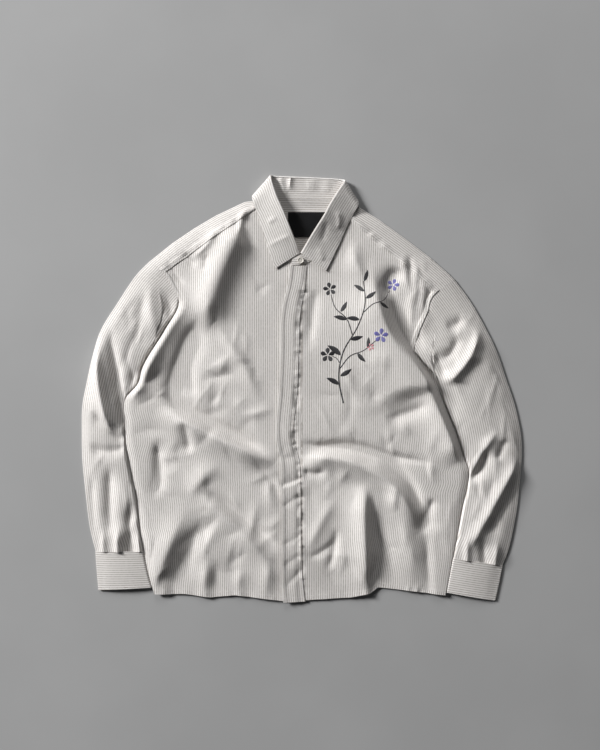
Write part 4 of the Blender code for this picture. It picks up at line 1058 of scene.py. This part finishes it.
def mesh_object(name, points, faces, face_uv=None, sharp=50.0):
    """Smooth mesh object from points in millimetres, placed in the frame; sharp in degrees."""
    mesh = bpy.data.meshes.new(name)
    mesh.from_pydata(((np.asarray(points) + SHIFT) * MM).tolist(), [], list(map(tuple, faces)))
    if face_uv is not None:
        layer = mesh.uv_layers.new(name="cut")
        layer.data.foreach_set("uv", (np.asarray(face_uv) * MM).ravel())
    mesh.polygons.foreach_set("use_smooth", [True] * len(mesh.polygons))
    mesh.set_sharp_from_angle(angle=np.radians(sharp))
    mesh.update()
    return in_scene(name, mesh)


def on_frame(piece, material, node=None):
    """Tie a piece to the frame, and give it its slot and material."""
    piece.data.materials.append(material)
    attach(piece, "root")
    if node:
        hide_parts(node)
    return piece


def edge_path(grid, edge, distance, start=0.0, end=1.0):
    """Line on a grid at one distance from one of its edges, with the upward normals there."""
    normals = up_normals(grid)
    if edge in ("first_row", "last_row"):
        grid, normals = grid.transpose(1, 0, 2), normals.transpose(1, 0, 2)
    if edge in ("last_row", "last_column"):
        grid, normals = grid[:, ::-1], normals[:, ::-1]
    first = int(round(start * (len(grid) - 1)))
    last = int(round(end * (len(grid) - 1)))
    lengths = arc_lengths(grid, 1)
    path = []
    ups = []
    for row in range(first, last + 1):
        path.append([np.interp(distance, lengths[row], grid[row, :, axis]) for axis in range(3)])
        ups.append([np.interp(distance, lengths[row], normals[row, :, axis]) for axis in range(3)])
    return np.array(path), unit(np.array(ups))


def stitches(name, paths, material):
    """Rows of sewn stitches, each a small pointed capsule half sunk in the cloth."""
    pitch, length, radius = STITCH
    half = length / 2.0
    turns = np.arange(5) * 2.0 * np.pi / 5.0
    template = [(-half, 0.0, 0.0)]
    template += [(-0.6 * half, np.cos(turn), np.sin(turn)) for turn in turns]
    template += [(0.6 * half, np.cos(turn), np.sin(turn)) for turn in turns]
    template.append((half, 0.0, 0.0))
    template = np.array(template)
    blocks = []
    for path, ups, lift in paths:
        lengths = run(path)
        places = np.arange(pitch / 2.0, lengths[-1], pitch)
        centres = np.stack([np.interp(places, lengths, path[:, k]) for k in range(3)], axis=1)
        ahead = np.stack([np.interp(places + 0.5, lengths, path[:, k]) for k in range(3)], axis=1)
        up = unit(np.stack([np.interp(places, lengths, ups[:, k]) for k in range(3)], axis=1))
        along = unit(ahead - centres + 1e-9)
        aside = unit(np.cross(along, up))
        centres = centres + up * lift
        blocks.append(centres[:, None] + along[:, None] * template[:, :1]
                      + aside[:, None] * template[:, 1:2] * radius
                      + up[:, None] * template[:, 2:] * radius)
    points = np.concatenate(blocks)
    pattern = []
    for step in range(5):
        after = (step + 1) % 5
        pattern.append((0, 1 + after, 1 + step))
        pattern.append((1 + step, 1 + after, 6 + after, 6 + step))
        pattern.append((6 + step, 6 + after, 11))
    firsts = np.arange(len(points)) * len(template)
    faces = [tuple(int(first) + corner for corner in face) for first in firsts for face in pattern]
    piece = mesh_object(name, points.reshape(-1, 3), faces)
    return on_frame(piece, material)


def sewn_band(centres, widths):
    """Domed band of thread on the chest along a line of points x, y."""
    centres = np.asarray(centres, float)
    widths = np.asarray(widths, float)
    ahead = np.gradient(centres, axis=0)
    ahead = ahead / np.maximum(np.hypot(*ahead.T), 1e-6)[:, None]
    aside = np.stack([-ahead[:, 1], ahead[:, 0]], axis=1)
    across = np.linspace(-1.0, 1.0, 7)
    x = centres[:, None, 0] + aside[:, None, 0] * widths[:, None] / 2.0 * across
    y = centres[:, None, 1] + aside[:, None, 1] * widths[:, None] / 2.0 * across
    dome = DESIGN_RISE * np.sqrt(1.0 - across ** 2) * np.minimum(widths / 2.0, 1.0)[:, None]
    z = front_height(x, y) + CLOTH / 2.0 - DESIGN_SUNK + dome
    uv = np.stack(np.broadcast_arrays(across * widths[:, None], run(centres)[:, None]), axis=-1)
    return np.stack([x, y, z], axis=-1), uv


def stem_band(start_width, end_width, *points):
    """Band of a stem through its points."""
    points = np.array(points, float)
    places = np.linspace(0.0, len(points) - 1.0, 14 * len(points))
    return sewn_band(through(np.arange(len(points)), points, places),
                     np.linspace(start_width, end_width, len(places)))


def leaf_band(x, y, heading, length, width):
    """Band of a leaf: pointed at both ends, widest before its middle, a little curved."""
    share = np.linspace(0.0, 1.0, 16)
    turn = np.radians(heading) + 0.35 * (share - 0.5)
    steps = np.stack([np.cos(turn), np.sin(turn)], axis=1) * length / 15.0
    centres = np.array([x, y]) + np.cumsum(steps, axis=0)
    return sewn_band(centres, width * np.sin(np.pi * share ** 0.85) ** 0.9 + 0.1)


def petal_band(x, y, heading, length, width):
    """Band of a petal: narrow at its base, round at its tip."""
    share = np.linspace(0.0, 1.0, 12)
    ahead = np.array([np.cos(heading), np.sin(heading)])
    centres = np.array([x, y]) + (1.2 + share[:, None] * length) * ahead
    return sewn_band(centres, width * np.sin(np.pi * share ** 1.5) ** 0.7 + 0.1)


def sewn_piece(name, bands, material):
    """One object of several bands of thread."""
    points, faces, uvs = [], [], []
    first = 0
    for grid, uv in bands:
        quads, corners = faces_of_grid(*grid.shape[:2])
        points.append(grid.reshape(-1, 3))
        faces.append(quads + first)
        uvs.append(uv.reshape(-1, 2)[corners])
        first += grid.shape[0] * grid.shape[1]
    piece = mesh_object(name, np.vstack(points), np.vstack(faces), np.vstack(uvs))
    return on_frame(piece, material)


def chest_design(threads):
    """The sewn sprig: dark stems and leaves, violet blossoms and one pink bud."""
    dark = [stem_band(*stem) for stem in STEMS] + [leaf_band(*leaf) for leaf in LEAVES]
    coloured = {"black": dark, "violet": [], "pink": []}
    for x, y, petals, length, width, turn, colour in BLOSSOMS:
        for petal in range(petals):
            heading = np.radians(turn) + 2.0 * np.pi * petal / petals
            coloured[colour].append(petal_band(x, y, heading, length, width))
    return [sewn_piece("chest_sprig_" + colour, bands, threads[colour])
            for colour, bands in coloured.items()]


def button(material, sewing):
    """Round button with a raised rim, four holes and the thread that holds it."""
    radius, inside, height, rim_height = BUTTON
    x, y, z = BUTTON_PLACE
    low = height - rim_height
    profile = ((radius - 0.6, 0.0), (radius - 0.15, 0.2), (radius, 0.6), (radius, height - 0.5),
               (radius - 0.15, height - 0.15), (radius - 0.5, height), (inside + 0.4, height),
               (inside + 0.1, height - 0.2), (inside - 0.2, low + 0.1), (inside - 0.6, low))
    points = [(x, y, z)]
    for across, level in profile:
        for step in range(BUTTON_SIDES):
            turn = 2.0 * np.pi * step / BUTTON_SIDES
            points.append((x + across * np.cos(turn), y + across * np.sin(turn), z + level))
    points.append((x, y, z + low))
    last = len(points) - 1 - BUTTON_SIDES
    faces = []
    for step in range(BUTTON_SIDES):
        after = (step + 1) % BUTTON_SIDES
        faces.append((0, 1 + after, 1 + step))
        for first in range(1, last, BUTTON_SIDES):
            second = first + BUTTON_SIDES
            faces.append((first + step, first + after, second + after, second + step))
        faces.append((last + step, last + after, len(points) - 1))
    piece = mesh_object("neck_button_fine", points, faces, sharp=BUTTON_SHARP)
    drill_holes(piece)
    on_frame(piece, material, "neck_button")
    stitches("button_thread", button_thread_paths(low), sewing)


def button_thread_paths(low):
    """Strands of thread over the button's middle, whose height is low, from hole to hole."""
    reach, at_holes, between, apart = BUTTON_THREAD
    away = BUTTON_HOLES[0]
    line = np.array([(-away - reach, 0.0, at_holes), (0.0, 0.0, between), (away + reach, 0.0, at_holes)])
    paths = []
    for side in (-away, away):
        for shift in (-apart, apart):
            strand = line + BUTTON_PLACE + (0.0, side + shift, low)
            paths.append((strand, np.tile(UP, (3, 1)), 0.0))
    return paths


def drill_holes(piece):
    """Four sewing holes through the button."""
    away, radius = BUTTON_HOLES
    x, y, z = np.array(BUTTON_PLACE) + SHIFT
    drills = bpy.data.meshes.new("drills")
    points, faces = [], []
    for side_x in (-away, away):
        for side_y in (-away, away):
            first = len(points)
            for level in DRILL_LEVELS:
                for step in range(HOLE_SIDES):
                    turn = 2.0 * np.pi * step / HOLE_SIDES
                    points.append(((x + side_x + radius * np.cos(turn)) * MM,
                                   (y + side_y + radius * np.sin(turn)) * MM, (z + level) * MM))
            lower = [first + step for step in range(HOLE_SIDES)]
            upper = [corner + HOLE_SIDES for corner in lower]
            faces += [lower[::-1], upper]
            for step in range(HOLE_SIDES):
                after = (step + 1) % HOLE_SIDES
                faces.append([lower[step], lower[after], upper[after], upper[step]])
    drills.from_pydata(points, [], faces)
    drill = in_scene("drills", drills)
    cut = piece.modifiers.new("holes", "BOOLEAN")
    cut.operation = "DIFFERENCE"
    cut.solver = "EXACT"
    cut.object = drill
    evaluated = piece.evaluated_get(bpy.context.evaluated_depsgraph_get())
    holed = bpy.data.meshes.new_from_object(evaluated)
    piece.modifiers.clear()
    piece.data = holed
    bpy.data.objects.remove(drill, do_unlink=True)


class Tree:
    """A material's nodes, with short calls to add and join them."""

    def __init__(self, name):
        self.material = bpy.data.materials.new(name)
        self.material.use_nodes = True
        self.nodes = self.material.node_tree.nodes
        self.links = self.material.node_tree.links
        self.shader = self.nodes["Principled BSDF"]

    def add(self, kind, **settings):
        """A new node with its settings."""
        made = self.nodes.new(kind)
        for name, value in settings.items():
            setattr(made, name, value)
        return made

    def join(self, output, target):
        """Join an output to an input."""
        self.links.new(output, target)

    def cut(self):
        """The cut's coordinates together, then the one across and the one along."""
        together = self.add("ShaderNodeUVMap", uv_map="cut").outputs[0]
        parts = self.add("ShaderNodeSeparateXYZ")
        self.join(together, parts.inputs[0])
        return together, parts.outputs[0], parts.outputs[1]

    def wave(self, value, length):
        """Sine along a coordinate in metres; its length is in millimetres."""
        return self.math("SINE", self.math("MULTIPLY", value, 2.0 * np.pi / (length * MM)))

    def colour(self, factor, first, second, kind="MIX"):
        """Give the shader two colours blended by a factor."""
        self.join(self.blend(factor, first, second, kind), self.shader.inputs["Base Color"])

    def math(self, operation, first, second=0.0):
        """A math node on sockets or numbers; gives its output."""
        made = self.add("ShaderNodeMath", operation=operation)
        for place, value in enumerate((first, second)):
            if isinstance(value, (int, float)):
                made.inputs[place].default_value = value
            else:
                self.join(value, made.inputs[place])
        return made.outputs[0]

    def spread(self, value, low, high, start=0.0, end=1.0):
        """A value carried smoothly from one range to another."""
        made = self.add("ShaderNodeMapRange", interpolation_type="SMOOTHSTEP")
        self.join(value, made.inputs[0])
        for place, number in enumerate((low, high, start, end)):
            made.inputs[1 + place].default_value = number
        return made.outputs[0]

    def noise(self, place, scale, detail=2.0):
        """Noise at a place; gives its value."""
        made = self.add("ShaderNodeTexNoise")
        made.inputs["Scale"].default_value = scale
        made.inputs["Detail"].default_value = detail
        self.join(place, made.inputs["Vector"])
        return made.outputs[0]

    def blend(self, factor, first, second, kind="MIX"):
        """Two colours blended by a factor; each a socket or a colour."""
        made = self.add("ShaderNodeMix", data_type="RGBA", blend_type=kind)
        for place, value in ((0, factor), (6, first), (7, second)):
            if isinstance(value, bpy.types.NodeSocket):
                self.join(value, made.inputs[place])
            elif place == 0:
                made.inputs[place].default_value = value
            else:
                made.inputs[place].default_value = (*value, 1.0)
        return made.outputs[2]

    def bump(self, height, distance, strength=1.0):
        """Bump from a height between 0 and 1, as deep as the distance in metres."""
        made = self.add("ShaderNodeBump")
        made.inputs["Distance"].default_value = distance
        made.inputs["Strength"].default_value = strength
        self.join(height, made.inputs["Height"])
        self.join(made.outputs[0], self.shader.inputs["Normal"])

    def set(self, **values):
        """Set numbers on the shader's own sockets."""
        for name, value in values.items():
            self.shader.inputs[name.replace("_", " ")].default_value = value


def striped_cloth():
    """Light cotton, yarn-dyed with soft narrow stripes along its cut coordinates."""
    tree = Tree("striped_cloth_fine")
    cut, across, along = tree.cut()
    place = tree.math("MULTIPLY", across, 1.0 / (STRIPE_PERIOD * MM))
    centred = tree.math("ABSOLUTE", tree.math("SUBTRACT", tree.math("FRACT", place), 0.5))
    line = tree.spread(centred, 0.15, 0.27, 1.0, 0.0)
    weft_place = tree.math("FRACT", tree.math("MULTIPLY", along, 1.0 / (STRIPE_BREAK * MM)))
    from_weft = tree.math("ABSOLUTE", tree.math("SUBTRACT", weft_place, 0.5))
    broken = tree.spread(from_weft, 0.1, 0.4, 0.8, 1.0)
    slub = tree.noise(cut, 210.0, 3.0)
    strength = tree.math("MULTIPLY", tree.math("MULTIPLY", line, broken),
                         tree.spread(slub, 0.3, 0.7, 0.7, 1.0))
    colour = tree.blend(strength, CREAM, TAUPE)
    cloudy = tree.spread(tree.noise(cut, 14.0, 4.0), 0.3, 0.7, 0.94, 1.0)
    shade = tree.add("ShaderNodeCombineXYZ")
    for socket in shade.inputs:
        tree.join(cloudy, socket)
    tree.colour(1.0, colour, shade.outputs[0], "MULTIPLY")
    warp, weft = tree.wave(across, YARN[0]), tree.wave(along, YARN[1])
    weave = tree.math("MULTIPLY", tree.math("MULTIPLY", weft, warp), 0.25)
    rib = tree.math("MULTIPLY", line, -0.15)
    rough = tree.math("MULTIPLY", tree.noise(cut, 420.0, 2.0), 0.6)
    tree.bump(tree.math("ADD", tree.math("ADD", weave, rib), rough), 0.00022)
    tree.set(Roughness=0.86, Sheen_Weight=0.12, Sheen_Roughness=0.45)
    return tree.material


def thread(name, colour, shine=0.12):
    """Sewing or embroidery thread, with fine raised lines across each band; each line's crest is painted
    lighter as a highlight.
    """
    tree = Tree(name)
    across, along = tree.cut()[1:]
    slanted = tree.math("ADD", along, tree.math("MULTIPLY", across, 0.35))
    lines = tree.wave(slanted, SEWN_THREAD)
    lift = tree.math("ADD", tree.math("MULTIPLY", lines, 0.5), 0.5)
    # painted highlight: the colour goes up to 1.5 times lighter on the raised lines of the thread
    tree.colour(lift, colour, tuple(min(1.0, 1.5 * part + 0.015) for part in colour))
    tree.bump(lift, 0.00012)
    tree.set(Roughness=0.48, Sheen_Weight=shine, Sheen_Roughness=0.4)
    return tree.material


def label_cloth():
    """Black woven satin of the label, with a fine rib; its raised weave is painted a lighter black as a
    highlight.
    """
    tree = Tree("label_cloth_fine")
    across, along = tree.cut()[1:]
    rib, warp = tree.wave(along, LABEL_RIB[0]), tree.wave(across, LABEL_RIB[1])
    weave = tree.math("ADD", tree.math("MULTIPLY", rib, 0.3), tree.math("MULTIPLY", warp, 0.2))
    level = tree.math("ADD", weave, 0.5)
    # painted highlight: the lighter black goes where the weave is raised, the same height as the bump
    tree.colour(level, *LABEL_BLACKS)
    tree.bump(level, 0.0001)
    tree.set(Roughness=0.6, Specular_IOR_Level=0.2)
    return tree.material


def button_plastic():
    """Cream button with faint clouds in its plastic."""
    tree = Tree("button_plastic_fine")
    place = tree.add("ShaderNodeTexCoord").outputs["Object"]
    tree.colour(tree.noise(place, 260.0, 3.0), *BUTTON_CREAMS)
    tree.bump(tree.noise(place, 900.0), 0.00004)
    tree.set(Roughness=0.3, Coat_Weight=0.3)
    return tree.material


def floor_paint():
    """Plain pale floor."""
    tree = Tree("floor")
    place = tree.add("ShaderNodeTexCoord").outputs["Object"]
    tree.colour(tree.spread(tree.noise(place, 3.0, 4.0), 0.3, 0.7), *FLOOR_GREYS)
    tree.set(Roughness=0.9)
    return tree.material


def thickness_of(node):
    """Thickness of a piece's cloth."""
    return COLLAR_CLOTH if node.startswith(("collar", "cuff")) else CLOTH


def shirt():
    """All pieces of the shirt."""
    cloth = striped_cloth()
    sewing = thread("sewing_thread", SEWING_THREAD)
    threads = {colour: thread(colour + "_thread", value, SPRIG_SHINE)
               for colour, value in SPRIG_THREADS.items()}
    sheets = {"front_left": front(-1), "front_right": front(1), "fly_placket": fly(),
              "back_panel": back_panel(), "collar_stand": collar_stand(),
              "collar_fall": collar_fall()}
    yoke, yoke_cut, yoke_keep = back_yoke()
    sheets["back_yoke"] = (yoke, yoke_cut)
    tubes = tubes_of_cloth()
    sheets.update(tubes)
    for node, (grid, cut) in sheets.items():
        keep = yoke_keep if node == "back_yoke" else None
        piece = cloth_wall(node + "_cloth", grid, cut, thickness_of(node), node in tubes, keep)
        on_frame(piece, cloth, node)
    label_grid, label_cut = label()
    piece = cloth_wall("neck_label_cloth", label_grid, label_cut, LABEL[-1] * LABEL_THIN)
    on_frame(piece, label_cloth(), "neck_label")
    button(button_plastic(), sewing)
    sprig = chest_design(threads)
    grids = {node: grid for node, (grid, cut) in sheets.items()}
    seams = stitches("seam_stitches", seam_paths(grids), sewing)
    black = stitches("label_stitches", label_paths(label_grid), threads["black"])


def tubes_of_cloth():
    """Grids of the sleeves and the cuffs, with their cut coordinates."""
    left_folds = LEFT_SLEEVE_FOLDS + LEFT_SLEEVE_SMALL
    right_folds = RIGHT_SLEEVE_FOLDS + RIGHT_SLEEVE_SMALL
    left = tube(LEFT_SLEEVE, left_folds, -1, SLEEVE_RINGS, LOWER, PRESSED, LEFT_ARMHOLE)
    right = tube(RIGHT_SLEEVE, right_folds, 1, SLEEVE_RINGS, LOWER, PRESSED, RIGHT_ARMHOLE)
    made = {"sleeve_left": (left, sleeve_cut(left)), "sleeve_right": (right, sleeve_cut(right))}
    for node, table, side in (("cuff_left", LEFT_CUFF, -1), ("cuff_right", RIGHT_CUFF, 1)):
        grid = tube(table, (), side, CUFF_RINGS, CUFF_LOWER, TUCK - SEAM - CUFF_LOWER)
        made[node] = (grid, cuff_cut(grid))
    return made


def seam_paths(grids):
    """Rows of stitches of the whole shirt: line, upward normals and height over the middle."""
    wings = grids["back_yoke"][:, YOKE_ROWS - 1:]
    grids = dict(grids, yoke_left=wings[:SHOULDER_COLUMNS], yoke_right=wings[-SHOULDER_COLUMNS:])
    for node in ("cuff_left", "cuff_right"):
        grids[node] = grids[node][:OPEN_STEPS + 1]
    paths = []
    for node, edge, *place in SEAM_ROWS:
        lift = thickness_of(node) / 2 + STITCH_LIFT
        paths.append((*edge_path(grids[node], edge, *place), lift))
    fly_grid = grids["fly_placket"]
    bar = fly_grid[np.argmin(np.abs(fly_grid[:, 0, 1] - FLY_BAR)), BAR_START:]
    paths.append((bar, np.tile(UP, (len(bar), 1)), CLOTH / 2 + STITCH_LIFT))
    return paths


def label_paths(grid):
    """Stitches that hold the label along its top and its bottom."""
    return [(*edge_path(grid, edge, *LABEL_ROW), LABEL[-1] * LABEL_THIN / 2)
            for edge in ("first_row", "last_row")]


def surroundings():
    """Pale floor, soft lights from the left and the top, and the camera straight above."""
    scene = bpy.context.scene
    floor = bpy.data.meshes.new("floor")
    corners = [(-FLOOR_HALF, -FLOOR_HALF, 0), (FLOOR_HALF, -FLOOR_HALF, 0),
               (FLOOR_HALF, FLOOR_HALF, 0), (-FLOOR_HALF, FLOOR_HALF, 0)]
    floor.from_pydata(corners, [], [(0, 1, 2, 3)])
    floor.materials.append(floor_paint())
    ground = in_scene("floor", floor)
    ground.location.z = -FLOOR_DROP
    for light in LIGHTS:
        area_light(*light)
    world = bpy.data.worlds.new("studio")
    world.use_nodes = True
    sky = world.node_tree.nodes["Background"]
    sky.inputs["Color"].default_value = (*SKY_COLOUR, 1.0)
    sky.inputs["Strength"].default_value = SKY_STRENGTH
    scene.world = world
    scene.view_settings.view_transform = "Standard"
    lens = bpy.data.cameras.new("camera")
    lens.sensor_fit = "VERTICAL"
    lens.angle_y = 2.0 * np.arctan(CAMERA_VIEW / 2.0 / CAMERA_HEIGHT)
    scene.camera = in_scene("camera", lens)
    scene.camera.location = (*CAMERA_OVER, CAMERA_HEIGHT)


def area_light(name, place, size, power):
    """Square soft light that shines at the shirt's middle."""
    light = bpy.data.lights.new(name, "AREA")
    light.size = size
    light.energy = power
    lamp = in_scene(name, light)
    lamp.location = place
    towards = -np.array(place)
    yaw = np.arctan2(towards[1], towards[0])
    tilt = np.arctan2(np.hypot(towards[0], towards[1]), -towards[2])
    lamp.rotation_euler = (tilt, 0.0, yaw - np.pi / 2.0)


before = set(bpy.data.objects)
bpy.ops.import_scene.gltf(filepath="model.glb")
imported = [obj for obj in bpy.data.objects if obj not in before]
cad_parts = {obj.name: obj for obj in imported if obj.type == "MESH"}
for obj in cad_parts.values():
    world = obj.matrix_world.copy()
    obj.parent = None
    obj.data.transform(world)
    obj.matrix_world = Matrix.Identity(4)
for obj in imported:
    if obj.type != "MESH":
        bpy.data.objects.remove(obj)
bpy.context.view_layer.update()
BODY_SMALL = tuple(row for group in BODY_SCATTER for row in scatter(*group))
BODY_SMALL += tuple(puckers([(row[2], row[0]) for row in FLY], *FLY_PUCKERS)
                    + puckers(HEM, *HEM_PUCKERS) + puckers(LEFT_YOKE_SEAM, *YOKE_PUCKERS)
                    + puckers(RIGHT_YOKE_SEAM, *YOKE_PUCKERS))
LEFT_SLEEVE_SMALL = tuple(row for group in LEFT_SLEEVE_SCATTER for row in scatter(*group))
RIGHT_SLEEVE_SMALL = tuple(row for group in RIGHT_SLEEVE_SCATTER for row in scatter(*group))
label_corner = np.array(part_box("neck_label")[0]) / MM
SHIFT = label_corner - np.array([LABEL[0], LABEL[2], CAD_CLOTH + SEAM])
shirt()
surroundings()
